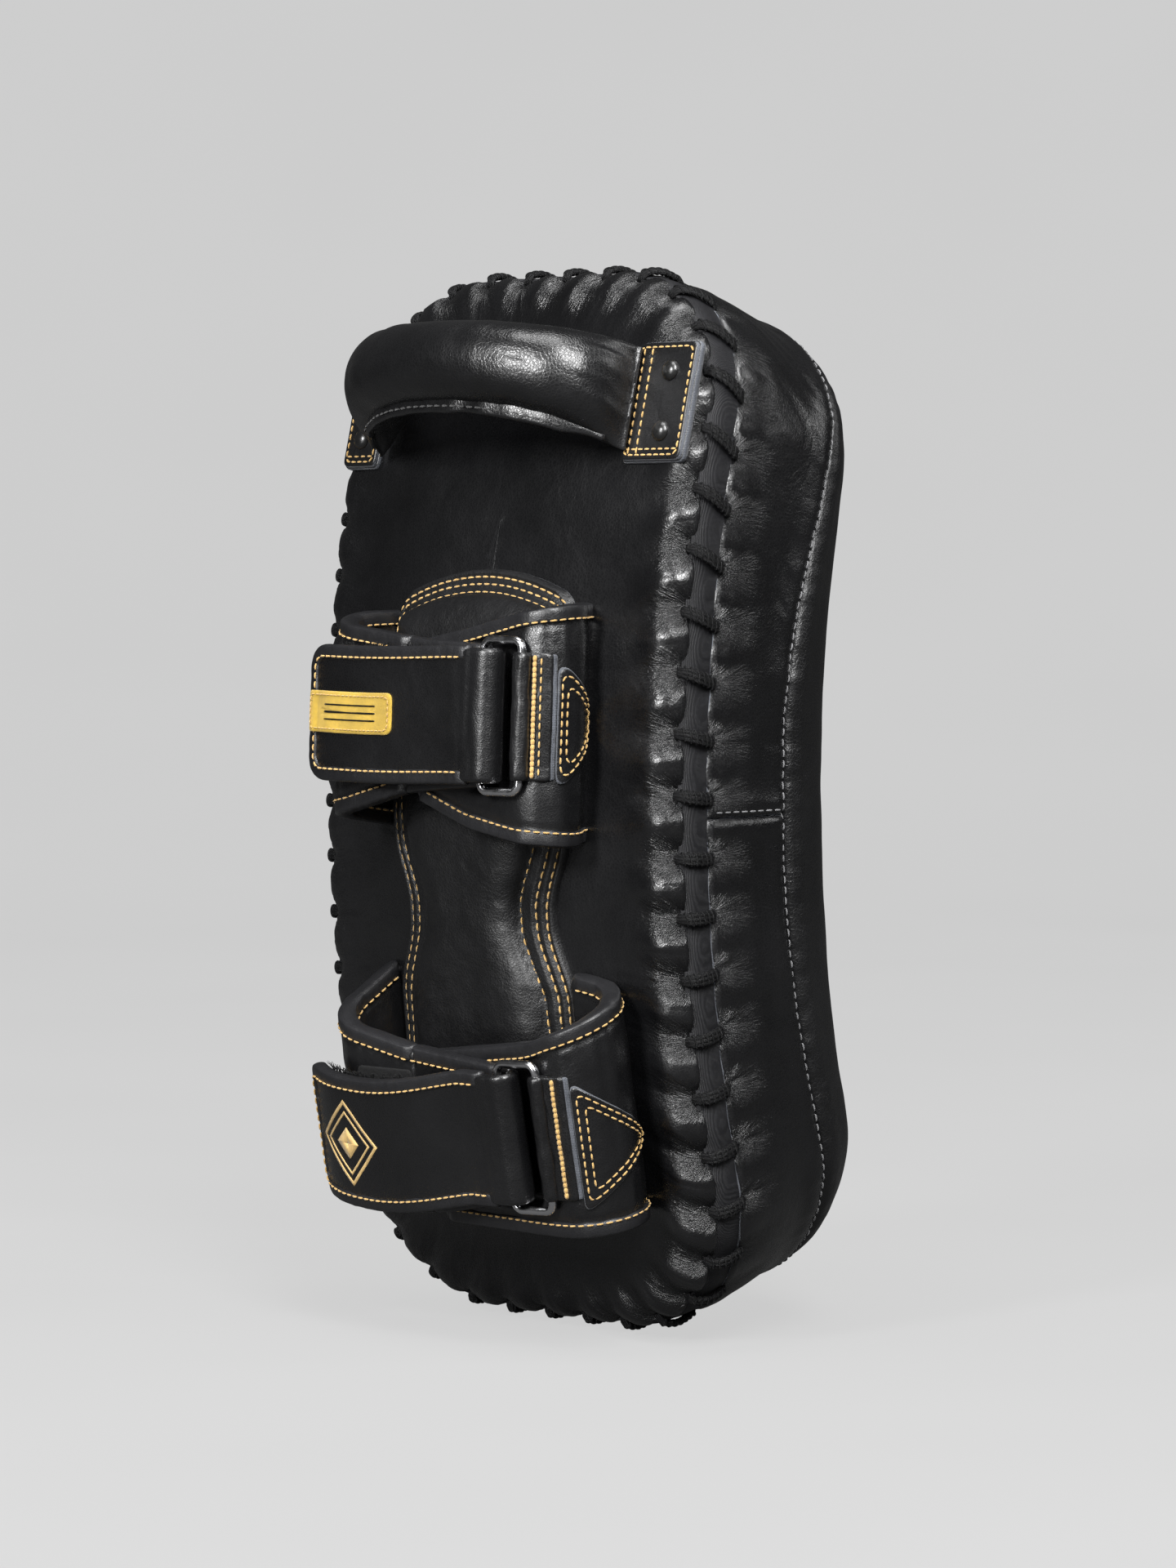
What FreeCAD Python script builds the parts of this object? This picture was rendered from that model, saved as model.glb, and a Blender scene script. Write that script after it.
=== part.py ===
# Curved leather kick pad: laced shell, three foam layers, grab handle,
# waisted forearm pad and two strap cuffs.
# Millimetres. +Z along the pad, +X to the holder's right, -Y towards the
# holder (handle and cuffs), +Y towards the strike face.
import FreeCAD, Part
import math
import os
import Sketcher

V = FreeCAD.Vector
C = Sketcher.Constraint

doc = FreeCAD.newDocument("kick_pad")

# ------------------------------------------------------------------ sheet
sheet = doc.addObject("Spreadsheet::Sheet", "Dimensions")
VALUES = {}
ROWS = [
    # body
    ("half_width", 100.0, "half of the pad width"),
    ("bend_radius", 645.0, "bend radius of the lacing line, centre on the strike side"),
    ("half_angle", 18.06, "half of the arc the pad covers, degrees"),
    ("shift_y", -27.2, "moves the whole pad along Y so the origin is the middle of its base"),
    ("shift_z", 3.57, "moves the whole pad along Z so its lowest point is at zero"),
    ("mid_height", 200.0, "height of the middle of the arc before the shift"),
    ("corner_radius", 63.0, "outline corner radius"),
    ("back_depth", 12.0, "back panel plane behind the lacing line"),
    ("strike_depth", 90.0, "strike face in front of the lacing line"),
    ("back_round", 14.0, "edge rounding, holder side"),
    ("strike_round", 40.0, "edge rounding, strike side"),
    ("shell_thick", 2.0, "leather thickness"),
    ("tape_low", 4.9, "lacing tape edge behind the lacing line"),
    ("tape_high", 5.9, "lacing tape edge in front of the lacing line"),
    ("gusset_edge", 47.0, "seam between gusset and strike panel"),
    ("gusset_joint", 0.4, "angle of the gusset joint below the middle, degrees"),
    ("foam_gap", 0.1, "clearance between foam layers"),
    ("foam_inset", 2.15, "foam surface below the outer surface: leather plus clearance"),
    ("pad_inset", 1.6, "forearm foam below its cover surface: leather plus clearance"),
    ("back_foam_edge", 4.0, "depth where the back foam ends"),
    ("core_foam_edge", 60.0, "depth where the core foam ends"),
    # lacing cord
    ("loop_radius", 1.25, "lacing cord radius"),
    ("loop_reach", 3.2, "half length of one lacing loop between end balls"),
    ("loop_lift", 0.35, "height of the loop above the leather"),
    # forearm pad
    ("pad_thick", 10.0, "forearm pad thickness"),
    ("pad_skin", 1.5, "forearm pad leather"),
    ("pad_top", 274.0, "height of the upper shoulder of the forearm pad"),
    ("pad_waist", 164.0, "height of the waist"),
    ("pad_low", 54.0, "height of the lower shoulder"),
    ("pad_arch", 12.0, "rise of the end arches"),
    ("pad_half_wide", 48.6, "half width at the shoulders"),
    ("pad_half_waist", 41.0, "half width at the waist"),
    # handle
    ("handle_angle", 13.7, "arc position of the handle, degrees"),
    ("handle_span", 60.0, "half distance between the handle ends"),
    ("handle_rise", 15.0, "centre line of the handle ends above the back"),
    ("handle_bow", 26.0, "further rise at the middle"),
    ("handle_radius", 15.5, "outer radius of the padded tube"),
    ("handle_skin", 1.5, "leather on the tube"),
    ("tab_in", 56.0, "inner edge of a handle tab"),
    ("tab_out", 92.0, "outer edge of a handle tab"),
    ("tab_tall", 45.0, "tab height"),
    ("tab_thick", 3.6, "tab thickness"),
    ("tab_drop", 7.0, "tab centre below the handle centre line"),
    ("rivet_x", 83.0, "rivet distance from the middle"),
    ("rivet_pitch", 23.0, "distance between the two rivets of a tab"),
    ("rivet_head", 3.6, "rivet head radius"),
    ("rivet_dome", 1.8, "rivet head height"),
    # cuffs
    ("wing_thick", 5.0, "wing thickness"),
    ("wing_tall", 76.0, "wing height without binding"),
    ("strap_tall", 50.0, "strap height"),
    ("strap_thick", 3.4, "strap thickness"),
    ("bind_thick", 1.0, "binding leather"),
    ("bind_tall", 7.0, "binding width on the wing"),
    ("wire_radius", 1.6, "ring wire radius"),
    ("ring_tall", 56.0, "ring height between wire centres"),
    ("ring_wide", 18.0, "ring width between wire centres"),
    ("ring_corner", 3.6, "ring corner radius on the wire centre line"),
    ("fold_inner", 2.2, "inside radius of the strap fold"),
    ("keeper_skin", 1.55, "keeper leather"),
    ("keeper_tall", 47.0, "keeper height"),
    ("patch_thick", 1.4, "reinforcement patch thickness"),
    ("upper_angle", 2.8, "arc position of the upper cuff, degrees"),
    ("lower_angle", -10.1, "arc position of the lower cuff, degrees"),
    ("seat_gap", 0.1, "clearance between cuffs and the back panel"),
    ("upper_start", 53.0, "upper ring wing: root distance from the middle"),
    ("upper_turn", 12.0, "upper ring wing: radius of the first turn"),
    ("upper_round", 11.0, "upper ring wing: radius of the second turn"),
    ("upper_flat", 54.0, "upper ring wing: straight length across the front"),
    ("upper_left", 52.2, "upper strap wing: root distance from the middle"),
    ("upper_left_rise", 20.5, "upper strap wing: straight rise"),
    ("upper_left_round", 11.2, "upper strap wing: corner radius"),
    ("upper_left_flat", 33.0, "upper strap wing: straight length across the front"),
    ("upper_ring_x", 53.0, "upper ring: pivot wire position"),
    ("upper_ring_w", 33.2, "upper ring: pivot wire distance from the back"),
    ("upper_end_x", -55.0, "upper strap tail: free end"),
    ("upper_bar_w", 35.7, "upper ring: outer wire distance from the back"),
    ("lower_start", 50.5, "lower ring wing: root distance from the middle"),
    ("lower_foot", 3.1, "lower ring wing: height of the root above the back"),
    ("lower_run", 12.0, "lower ring wing: flat run along the back"),
    ("lower_round", 14.5, "lower ring wing: radius of the turn"),
    ("lower_flat", 67.0, "lower ring wing: straight length across the front"),
    ("lower_left", 54.5, "lower strap wing: root distance from the middle"),
    ("lower_left_rise", 20.0, "lower strap wing: straight rise"),
    ("lower_left_round", 16.5, "lower strap wing: corner radius"),
    ("lower_left_flat", 31.0, "lower strap wing: straight length across the front"),
    ("lower_ring_x", 59.0, "lower ring: pivot wire position"),
    ("lower_ring_w", 37.9, "lower ring: pivot wire distance from the back"),
    ("lower_end_x", -66.0, "lower strap tail: free end"),
    ("lower_bar_w", 40.5, "lower ring: outer wire distance from the back"),
]
for row, (alias, number, words) in enumerate(ROWS, start=1):
    sheet.set("A%d" % row, words)
    sheet.set("B%d" % row, "%g" % number)
    sheet.setAlias("B%d" % row, alias)
doc.recompute()
for alias, number, words in ROWS:
    VALUES[alias] = float(sheet.get(alias))


def num(alias):
    return VALUES[alias]


def bind(obj, prop, expr):
    """Tie a property to the sheet; aliases are written in braces."""
    out = expr
    for alias in sorted(VALUES, key=len, reverse=True):
        out = out.replace("{" + alias + "}", "Dimensions." + alias)
    obj.setExpression(prop, out)


def calc(expr):
    out = expr
    for alias in sorted(VALUES, key=len, reverse=True):
        out = out.replace("{" + alias + "}", "(%r)" % VALUES[alias])
    total = 0.0
    # plain sums of products only
    for term in out.replace("-", "+-").replace("(+-", "(-").split("+"):
        term = term.strip()
        if not term:
            continue
        sign = 1.0
        if term.startswith("-"):
            sign = -1.0
            term = term[1:].strip()
        value = 1.0
        parts = term.replace("/", "*/").split("*")
        for piece in parts:
            piece = piece.strip()
            if piece.startswith("/"):
                value /= float(piece[1:].strip().strip("()"))
            else:
                value *= float(piece.strip("()"))
        total += sign * value
    return total


def plane(body, role):
    return [f for f in body.Origin.OriginFeatures if f.Role == role][0]


def new_body(label):
    body = doc.addObject("PartDesign::Body", label)
    body.Label = label
    return body


def new_sketch(body, role, name):
    sk = body.newObject("Sketcher::SketchObject", name)
    sk.AttachmentSupport = [(plane(body, role), "")]
    sk.MapMode = "FlatFace"
    return sk


def dim(sk, kind, args, expr, label, sign=1.0):
    """Add a driving dimension and tie it to the sheet."""
    value = calc(expr) * sign
    if kind == "Angle":
        value = math.radians(value)
    index = sk.addConstraint(C(kind, *args, value))
    sk.renameConstraint(index, label)
    bind(sk, "Constraints." + label, expr if sign > 0 else "-(" + expr + ")")
    return index


CENTRE_Y = "{bend_radius} + {shift_y}"
CENTRE_Z = "{mid_height} + {shift_z}"


def band_sketch(body, name, inner, outer, low, high):
    """Sector of an annulus about the bend axis on the YZ plane."""
    sk = new_sketch(body, "YZ_Plane", name)
    cy, cz = calc(CENTRE_Y), calc(CENTRE_Z)
    ri, ro = calc(inner), calc(outer)
    a1 = math.pi - math.radians(calc(high))
    a2 = math.pi - math.radians(calc(low))

    def at(r, a):
        return V(cy + r * math.cos(a), cz + r * math.sin(a), 0)

    circle_i = Part.Circle(V(cy, cz, 0), V(0, 0, 1), ri)
    circle_o = Part.Circle(V(cy, cz, 0), V(0, 0, 1), ro)
    sk.addGeometry(Part.ArcOfCircle(circle_i, a1, a2), False)
    sk.addGeometry(Part.ArcOfCircle(circle_o, a1, a2), False)
    sk.addGeometry(Part.LineSegment(at(ri, a1), at(ro, a1)), False)
    sk.addGeometry(Part.LineSegment(at(ri, a2), at(ro, a2)), False)
    sk.addConstraint([C("Coincident", 0, 1, 2, 1), C("Coincident", 1, 1, 2, 2),
                      C("Coincident", 0, 2, 3, 1), C("Coincident", 1, 2, 3, 2),
                      C("Coincident", 0, 3, 1, 3)])
    dim(sk, "DistanceX", (-1, 1, 0, 3), CENTRE_Y, "centre_y")
    dim(sk, "DistanceY", (-1, 1, 0, 3), CENTRE_Z, "centre_z")
    dim(sk, "Radius", (0,), inner, "inner")
    dim(sk, "Radius", (1,), outer, "outer")
    sk.addConstraint(C("PointOnObject", 0, 3, 2))
    sk.addConstraint(C("PointOnObject", 0, 3, 3))
    i = sk.addConstraint(C("Angle", 2, a1))
    sk.renameConstraint(i, "top")
    bind(sk, "Constraints.top", "180 - (" + high + ")")
    i = sk.addConstraint(C("Angle", 3, a2 - 2 * math.pi if a2 > math.pi else a2))
    sk.renameConstraint(i, "low")
    if a2 > math.pi:
        bind(sk, "Constraints.low", "-180 - (" + low + ")")
    else:
        bind(sk, "Constraints.low", "180 - (" + low + ")")
    return sk


def band(label, inner, outer, low, high, half):
    body = new_body(label)
    sk = band_sketch(body, label + "_outline", inner, outer, low, high)
    pad = body.newObject("PartDesign::Pad", label + "_width")
    pad.Profile = sk
    pad.SideType = "Symmetric"
    bind(pad, "Length", "2 * (" + half + ")")
    doc.recompute()
    body.Tip = pad
    return body, pad


def straight_corners(shape, half):
    out = []
    for k, e in enumerate(shape.Edges):
        a, b = e.Vertexes[0], e.Vertexes[-1]
        if abs(abs(a.X) - half) < 1e-3 and abs(a.X - b.X) < 1e-3 and isinstance(e.Curve, Part.Line):
            out.append("Edge%d" % (k + 1))
    return out


def loop_at(shape, radius):
    cy, cz = calc(CENTRE_Y), calc(CENTRE_Z)
    out = []
    for k, e in enumerate(shape.Edges):
        good = True
        for q in (0, .25, .5, .75, 1):
            p = e.valueAt(e.FirstParameter + (e.LastParameter - e.FirstParameter) * q)
            if abs(math.hypot(p.y - cy, p.z - cz) - radius) > 0.02:
                good = False
                break
        if good:
            out.append("Edge%d" % (k + 1))
    return out


def add_fillet(body, base, edges, name, expr):
    fil = body.newObject("PartDesign::Fillet", name)
    fil.Base = (base, edges)
    bind(fil, "Radius", expr)
    doc.recompute()
    body.Tip = fil
    return fil


def cushion(label, inset):
    """Whole pad form, inset evenly: corners and both edges rounded."""
    half = "{half_width} - " + inset
    inner = "{bend_radius} - {strike_depth} + " + inset
    outer = "{bend_radius} + {back_depth} - " + inset
    # 0.0888 degrees of arc is one millimetre at the lacing line
    body, pad = band(label, inner, outer, "-{half_angle} + 0.0888 * " + inset,
                     "{half_angle} - 0.0888 * " + inset, half)
    f1 = add_fillet(body, pad, straight_corners(body.Shape, calc(half)), label + "_corners",
                    "{corner_radius} - " + inset)
    f2 = add_fillet(body, f1, loop_at(body.Shape, calc(inner)), label + "_strike_round",
                    "{strike_round} - " + inset)
    add_fillet(body, f2, loop_at(body.Shape, calc(outer)), label + "_back_round",
               "{back_round} - " + inset)
    return body


def boolean(kind, label, first, second):
    obj = doc.addObject("Part::" + kind, label)
    obj.Label = label
    if kind in ("Cut", "Common"):
        if kind == "Cut":
            obj.Base, obj.Tool = first, second
        else:
            obj.Base, obj.Tool = first, second
    doc.recompute()
    return obj


NODES = []


def node(obj):
    NODES.append(obj)
    return obj


# ------------------------------------------------------------------ leather shell
outer_form = cushion("outer_form", "0 * {shell_thick}")
inner_form = cushion("inner_form", "{shell_thick}")
shell = boolean("Cut", "shell", outer_form, inner_form)

WIDE = "{half_width} + 20"


back_zone = band("back_zone", "{bend_radius} + {tape_low} + 0.05",
                 "{bend_radius} + {back_depth} + 15", "-{half_angle} - 4", "{half_angle} + 4", WIDE)[0]
tape_zone = band("tape_zone", "{bend_radius} - {tape_high} + 0.05", "{bend_radius} + {tape_low}",
                 "-{half_angle} - 4", "{half_angle} + 4", WIDE)[0]
upper_zone = band("upper_zone", "{bend_radius} - {gusset_edge}", "{bend_radius} - {tape_high}",
                  "-1 * {gusset_joint}", "{half_angle} + 4", WIDE)[0]
lower_zone = band("lower_zone", "{bend_radius} - {gusset_edge}", "{bend_radius} - {tape_high}",
                  "-{half_angle} - 4", "-1 * {gusset_joint} - 0.01", WIDE)[0]
strike_zone = band("strike_zone", "{bend_radius} - {strike_depth} - 15",
                   "{bend_radius} - {gusset_edge} - 0.05", "-{half_angle} - 4", "{half_angle} + 4", WIDE)[0]
node(boolean("Common", "back_panel", shell, back_zone))
node(boolean("Common", "lacing_tape", shell, tape_zone))
node(boolean("Common", "upper_gusset", shell, upper_zone))
node(boolean("Common", "lower_gusset", shell, lower_zone))
node(boolean("Common", "strike_face_panel", shell, strike_zone))

# ------------------------------------------------------------------ foam layers
foam_form = cushion("foam_form", "{foam_inset}")
foam_back_zone = band("foam_back_zone", "{bend_radius} - {back_foam_edge}",
                      "{bend_radius} + {back_depth} + 15", "-{half_angle} - 4", "{half_angle} + 4", WIDE)[0]
foam_core_zone = band("foam_core_zone", "{bend_radius} - {core_foam_edge}",
                      "{bend_radius} - {back_foam_edge} - {foam_gap}",
                      "-{half_angle} - 4", "{half_angle} + 4", WIDE)[0]
foam_strike_zone = band("foam_strike_zone", "{bend_radius} - {strike_depth} - 15",
                        "{bend_radius} - {core_foam_edge} - {foam_gap}",
                        "-{half_angle} - 4", "{half_angle} + 4", WIDE)[0]
node(boolean("Common", "back_foam", foam_form, foam_back_zone))
node(boolean("Common", "core_foam", foam_form, foam_core_zone))
node(boolean("Common", "strike_foam", foam_form, foam_strike_zone))


# ------------------------------------------------------------------ local frames
def seat(angle_expr, lift_expr):
    """Placement on the back panel at an arc position, with its expressions."""
    a = math.radians(calc(angle_expr))
    r = num("bend_radius") + num("back_depth") + calc(lift_expr)
    y = calc(CENTRE_Y) - r * math.cos(a)
    z = calc(CENTRE_Z) + r * math.sin(a)
    return FreeCAD.Placement(V(0, y, z), FreeCAD.Rotation(V(1, 0, 0), -math.degrees(a)))


def put(obj, angle_expr, lift_expr="0 * {seat_gap}", x_expr=None):
    obj.Placement = seat(angle_expr, lift_expr)
    r = "({bend_radius} + {back_depth} + " + lift_expr + ")"
    bind(obj, "Placement.Base.y", CENTRE_Y + " - " + r + " * cos((" + angle_expr + ") * 1 deg)")
    bind(obj, "Placement.Base.z", CENTRE_Z + " + " + r + " * sin((" + angle_expr + ") * 1 deg)")
    bind(obj, "Placement.Rotation.Angle", "-1 * (" + angle_expr + ") * 1 deg")
    if x_expr is not None:
        bind(obj, "Placement.Base.x", x_expr)
    return obj


def rect(sk, x0, x1, y0, y1, prefix="side"):
    """Rectangle from four expressions in sketch axes."""
    a, b, c, d = calc(x0), calc(x1), calc(y0), calc(y1)
    n = sk.GeometryCount
    pts = [V(a, c, 0), V(b, c, 0), V(b, d, 0), V(a, d, 0)]
    for k in range(4):
        sk.addGeometry(Part.LineSegment(pts[k], pts[(k + 1) % 4]), False)
    for k in range(4):
        sk.addConstraint(C("Coincident", n + k, 2, n + (k + 1) % 4, 1))
    sk.addConstraint([C("Horizontal", n), C("Horizontal", n + 2), C("Vertical", n + 1), C("Vertical", n + 3)])
    dim(sk, "DistanceX", (-1, 1, n, 1), x0, prefix + "_x0")
    dim(sk, "DistanceY", (-1, 1, n, 1), y0, prefix + "_y0")
    dim(sk, "DistanceX", (-1, 1, n + 2, 1), x1, prefix + "_x1")
    dim(sk, "DistanceY", (-1, 1, n + 2, 1), y1, prefix + "_y1")


def block(label, role, x0, x1, y0, y1, length, offset=None):
    """Rectangular pad, symmetric about its sketch plane."""
    body = new_body(label)
    sk = new_sketch(body, role, label + "_outline")
    rect(sk, x0, x1, y0, y1)
    if offset is not None:
        bind(sk, "AttachmentOffset.Base.z", offset)
    pad = body.newObject("PartDesign::Pad", label + "_pad")
    pad.Profile = sk
    pad.SideType = "Symmetric"
    bind(pad, "Length", length)
    doc.recompute()
    body.Tip = pad
    return body, pad


def spine(sk, start_x, start_y, heading, segs):
    """Open path of tangent lines and arcs. segs: ("line", length) or
    ("arc", radius, sweep degrees, +1 left or -1 right)."""
    x, y = calc(start_x), calc(start_y)
    h = math.radians(heading)
    for k, seg in enumerate(segs):
        if seg[0] == "line":
            length = calc(seg[1])
            q = V(x + length * math.cos(h), y + length * math.sin(h), 0)
            sk.addGeometry(Part.LineSegment(V(x, y, 0), q), False)
            ends = (1, 2)
            x, y = q.x, q.y
        else:
            r, sweep, turn = calc(seg[1]), math.radians(calc(seg[2])), seg[3]
            cx, cy = x - turn * r * math.sin(h), y + turn * r * math.cos(h)
            a0 = math.atan2(y - cy, x - cx)
            a1 = a0 + turn * sweep
            circle = Part.Circle(V(cx, cy, 0), V(0, 0, 1), r)
            lo, hi = (a0, a1) if turn > 0 else (a1, a0)
            sk.addGeometry(Part.ArcOfCircle(circle, lo, hi), False)
            ends = (1, 2) if turn > 0 else (2, 1)
            x, y = cx + r * math.cos(a1), cy + r * math.sin(a1)
            h += turn * sweep
        if k == 0:
            dim(sk, "DistanceX", (-1, 1, 0, ends[0]), start_x, "start_x")
            dim(sk, "DistanceY", (-1, 1, 0, ends[0]), start_y, "start_y")
        else:
            sk.addConstraint(C("Tangent", k - 1, last, k, ends[0]))
        if seg[0] == "line":
            dim(sk, "Distance", (k,), seg[1], "run_%d" % k)
            if k == 0:
                sk.addConstraint(C("Horizontal" if abs(math.sin(h)) < 0.5 else "Vertical", 0))
        else:
            dim(sk, "Radius", (k,), seg[1], "radius_%d" % k)
            dim(sk, "Angle", (k,), seg[2], "sweep_%d" % k)
            if k == 0:
                # first arc leaves the start along the heading: centre level with it
                level = abs(math.sin(math.radians(heading))) > 0.5
                sk.addConstraint(C("Horizontal", 0, ends[0], 0, 3) if level
                                 else C("Vertical", 0, ends[0], 0, 3))
        last = ends[1]


def swept(label, start_x, start_y, heading, segs, shape):
    """Profile swept along a path in the XY plane. shape(sketch) draws the
    profile; sketch x is across the path, sketch y is Z."""
    body = new_body(label)
    path = new_sketch(body, "XY_Plane", label + "_path")
    spine(path, start_x, start_y, heading, segs)
    up = abs(math.sin(math.radians(heading))) > 0.5
    prof = new_sketch(body, "XZ_Plane" if up else "YZ_Plane", label + "_profile")
    if not up:
        bind(prof, "AttachmentOffset.Base.z", start_x)
    shape(prof)
    doc.recompute()
    pipe = body.newObject("PartDesign::AdditivePipe", label + "_sweep")
    pipe.Profile = prof
    pipe.Spine = path
    doc.recompute()
    body.Tip = pipe
    return body


def polygon(sk, pts):
    """Closed polygon from pairs of expressions."""
    n = sk.GeometryCount
    num_pts = [V(calc(a), calc(b), 0) for a, b in pts]
    m = len(pts)
    for k in range(m):
        sk.addGeometry(Part.LineSegment(num_pts[k], num_pts[(k + 1) % m]), False)
    for k in range(m):
        sk.addConstraint(C("Coincident", n + k, 2, n + (k + 1) % m, 1))
    for k, (a, b) in enumerate(pts):
        dim(sk, "DistanceX", (-1, 1, n + k, 1), a, "px_%d" % (n + k))
        dim(sk, "DistanceY", (-1, 1, n + k, 1), b, "py_%d" % (n + k))


# ------------------------------------------------------------------ forearm pad
def waisted(label, inset, near, far):
    """Waisted outline cut through a depth layer of the back."""
    prism = new_body(label + "_outline_form")
    sk = new_sketch(prism, "XZ_Plane", label + "_outline")
    w1 = "{pad_half_wide} - " + inset
    w0 = "{pad_half_waist} - " + inset
    zt = "{pad_top} + {shift_z} - " + inset
    zl = "{pad_low} + {shift_z} + " + inset
    zm = "{pad_waist} + {shift_z}"
    za = "{pad_top} + {shift_z} + {pad_arch} - " + inset
    zb = "{pad_low} + {shift_z} - {pad_arch} + " + inset
    xw, xm, top, low, mid = calc(w1), calc(w0), calc(zt), calc(zl), calc(zm)
    arch_t, arch_b = calc(za), calc(zb)
    arcs = [(V(xw, top, 0), V(0, arch_t, 0), V(-xw, top, 0)),
            (V(-xw, top, 0), V(-xm, mid, 0), V(-xw, low, 0)),
            (V(-xw, low, 0), V(0, arch_b, 0), V(xw, low, 0)),
            (V(xw, low, 0), V(xm, mid, 0), V(xw, top, 0))]
    flips = []
    for a, b, c in arcs:
        h, chord = 0.5 * (c - a).Length, (c - a)
        mid = (a + c) * 0.5
        rise = (b - mid).Length
        r = (h * h + rise * rise) / (2 * rise)
        centre = mid - (b - mid) * ((r - rise) / rise)
        ccw = (a - centre).cross(c - centre).z > 0
        lo, hi = (a, c) if ccw else (c, a)
        t0 = math.atan2(lo.y - centre.y, lo.x - centre.x)
        t1 = math.atan2(hi.y - centre.y, hi.x - centre.x)
        if t1 < t0:
            t1 += 2 * math.pi
        sk.addGeometry(Part.ArcOfCircle(Part.Circle(centre, V(0, 0, 1), r), t0, t1), False)
        flips.append(not ccw)
    corners = [(xw, top, w1, zt), (-xw, top, None, zt), (-xw, low, None, zl), (xw, low, w1, zl)]

    def ends(k):
        return (2, 1) if flips[k] else (1, 2)

    for k in range(4):
        sk.addConstraint(C("Coincident", k, ends(k)[1], (k + 1) % 4, ends((k + 1) % 4)[0]))
    for k in range(4):
        x, z, xe, ze = corners[k]
        p = ends(k)[0]
        if xe is not None:
            dim(sk, "DistanceX", (-1, 1, k, p), xe, "cx_%d" % k)
        else:
            i = sk.addConstraint(C("DistanceX", -1, 1, k, p, x))
            sk.renameConstraint(i, "cx_%d" % k)
            bind(sk, "Constraints.cx_%d" % k, "-1 * (" + w1 + ")")
        dim(sk, "DistanceY", (-1, 1, k, p), ze, "cz_%d" % k)
    for k in range(4):
        r = sk.Geometry[k].Radius
        i = sk.addConstraint(C("Radius", k, r))
        sk.renameConstraint(i, "bow_%d" % k)
        if k in (0, 2):
            rise = "({pad_arch})"
            chord = "(" + w1 + ")"
        else:
            rise = "({pad_half_wide} - {pad_half_waist})"
            chord = "((" + zt + " - (" + zl + ")) / 2)"
        bind(sk, "Constraints.bow_%d" % k, "(" + chord + "^2 + " + rise + "^2) / (2 * " + rise + ")")
    pad = prism.newObject("PartDesign::Pad", label + "_length")
    pad.Profile = sk
    pad.SideType = "Symmetric"
    bind(pad, "Length", "4 * {half_width}")
    doc.recompute()
    edges = []
    for k, e in enumerate(prism.Shape.Edges):
        a, b = e.Vertexes[0], e.Vertexes[-1]
        if isinstance(e.Curve, Part.Line) and abs(a.X - b.X) < 1e-3 and abs(a.Z - b.Z) < 1e-3:
            edges.append("Edge%d" % (k + 1))
    add_fillet(prism, pad, edges, label + "_corners", "14 - " + inset)
    layer = band(label + "_layer", "{bend_radius} + " + near, "{bend_radius} + " + far,
                 "-{half_angle}", "{half_angle}", WIDE)[0]
    return boolean("Common", label, prism, layer)


cover_form = waisted("forearm_cover_form", "0 * {pad_skin}", "{back_depth} + {seat_gap}",
                     "{back_depth} + {pad_thick}")
cover_hollow = waisted("forearm_cover_hollow", "{pad_skin}", "{back_depth} - 2",
                       "{back_depth} + {pad_thick} - {pad_skin}")
node(boolean("Cut", "forearm_pad_cover", cover_form, cover_hollow))
node(waisted("forearm_pad_foam", "{pad_inset}", "{back_depth} + {seat_gap}",
             "{back_depth} + {pad_thick} - {pad_skin} - {foam_gap}"))

# ------------------------------------------------------------------ handle
HANDLE = "{handle_angle}"
span, bow = num("handle_span"), num("handle_bow")


def tube(label, outer, inner=None):
    """Bowed tube between the two tabs."""
    body = new_body(label)
    path = new_sketch(body, "XY_Plane", label + "_path")
    y0 = -num("handle_rise")
    arc = Part.Arc(V(-span, y0, 0), V(0, y0 - bow, 0), V(span, y0, 0))
    path.addGeometry(arc, False)
    g = path.Geometry[0]
    left, right = (1, 2) if g.StartPoint.x < 0 else (2, 1)
    i = path.addConstraint(C("DistanceX", -1, 1, 0, left, -span))
    path.renameConstraint(i, "left_x")
    bind(path, "Constraints.left_x", "-1 * {handle_span}")
    dim(path, "DistanceX", (-1, 1, 0, right), "{handle_span}", "right_x")
    for name, p in (("left_y", left), ("right_y", right)):
        i = path.addConstraint(C("DistanceY", -1, 1, 0, p, y0))
        path.renameConstraint(i, name)
        bind(path, "Constraints." + name, "-1 * {handle_rise}")
    i = path.addConstraint(C("Radius", 0, g.Radius))
    path.renameConstraint(i, "bow")
    bind(path, "Constraints.bow", "({handle_span}^2 + {handle_bow}^2) / (2 * {handle_bow})")
    doc.recompute()
    lean = math.degrees(math.asin(span / ((span ** 2 + bow ** 2) / (2 * bow))))
    prof = body.newObject("Sketcher::SketchObject", label + "_profile")
    prof.AttachmentSupport = [(plane(body, "YZ_Plane"), "")]
    prof.MapMode = "FlatFace"
    prof.AttachmentOffset = FreeCAD.Placement(V(y0, 0, -span), FreeCAD.Rotation(V(0, 1, 0), -lean))
    bind(prof, "AttachmentOffset.Base.z", "-1 * {handle_span}")
    bind(prof, "AttachmentOffset.Base.x", "-1 * {handle_rise}")
    for k, r in enumerate([outer] + ([inner] if inner else [])):
        prof.addGeometry(Part.Circle(V(0, 0, 0), V(0, 0, 1), calc(r)), False)
        prof.addConstraint(C("Coincident", k, 3, -1, 1))
        dim(prof, "Radius", (k,), r, "radius_%d" % k)
    doc.recompute()
    pipe = body.newObject("PartDesign::AdditivePipe", label + "_sweep")
    pipe.Profile = prof
    pipe.Spine = path
    doc.recompute()
    body.Tip = pipe
    return put(body, HANDLE)


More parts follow.
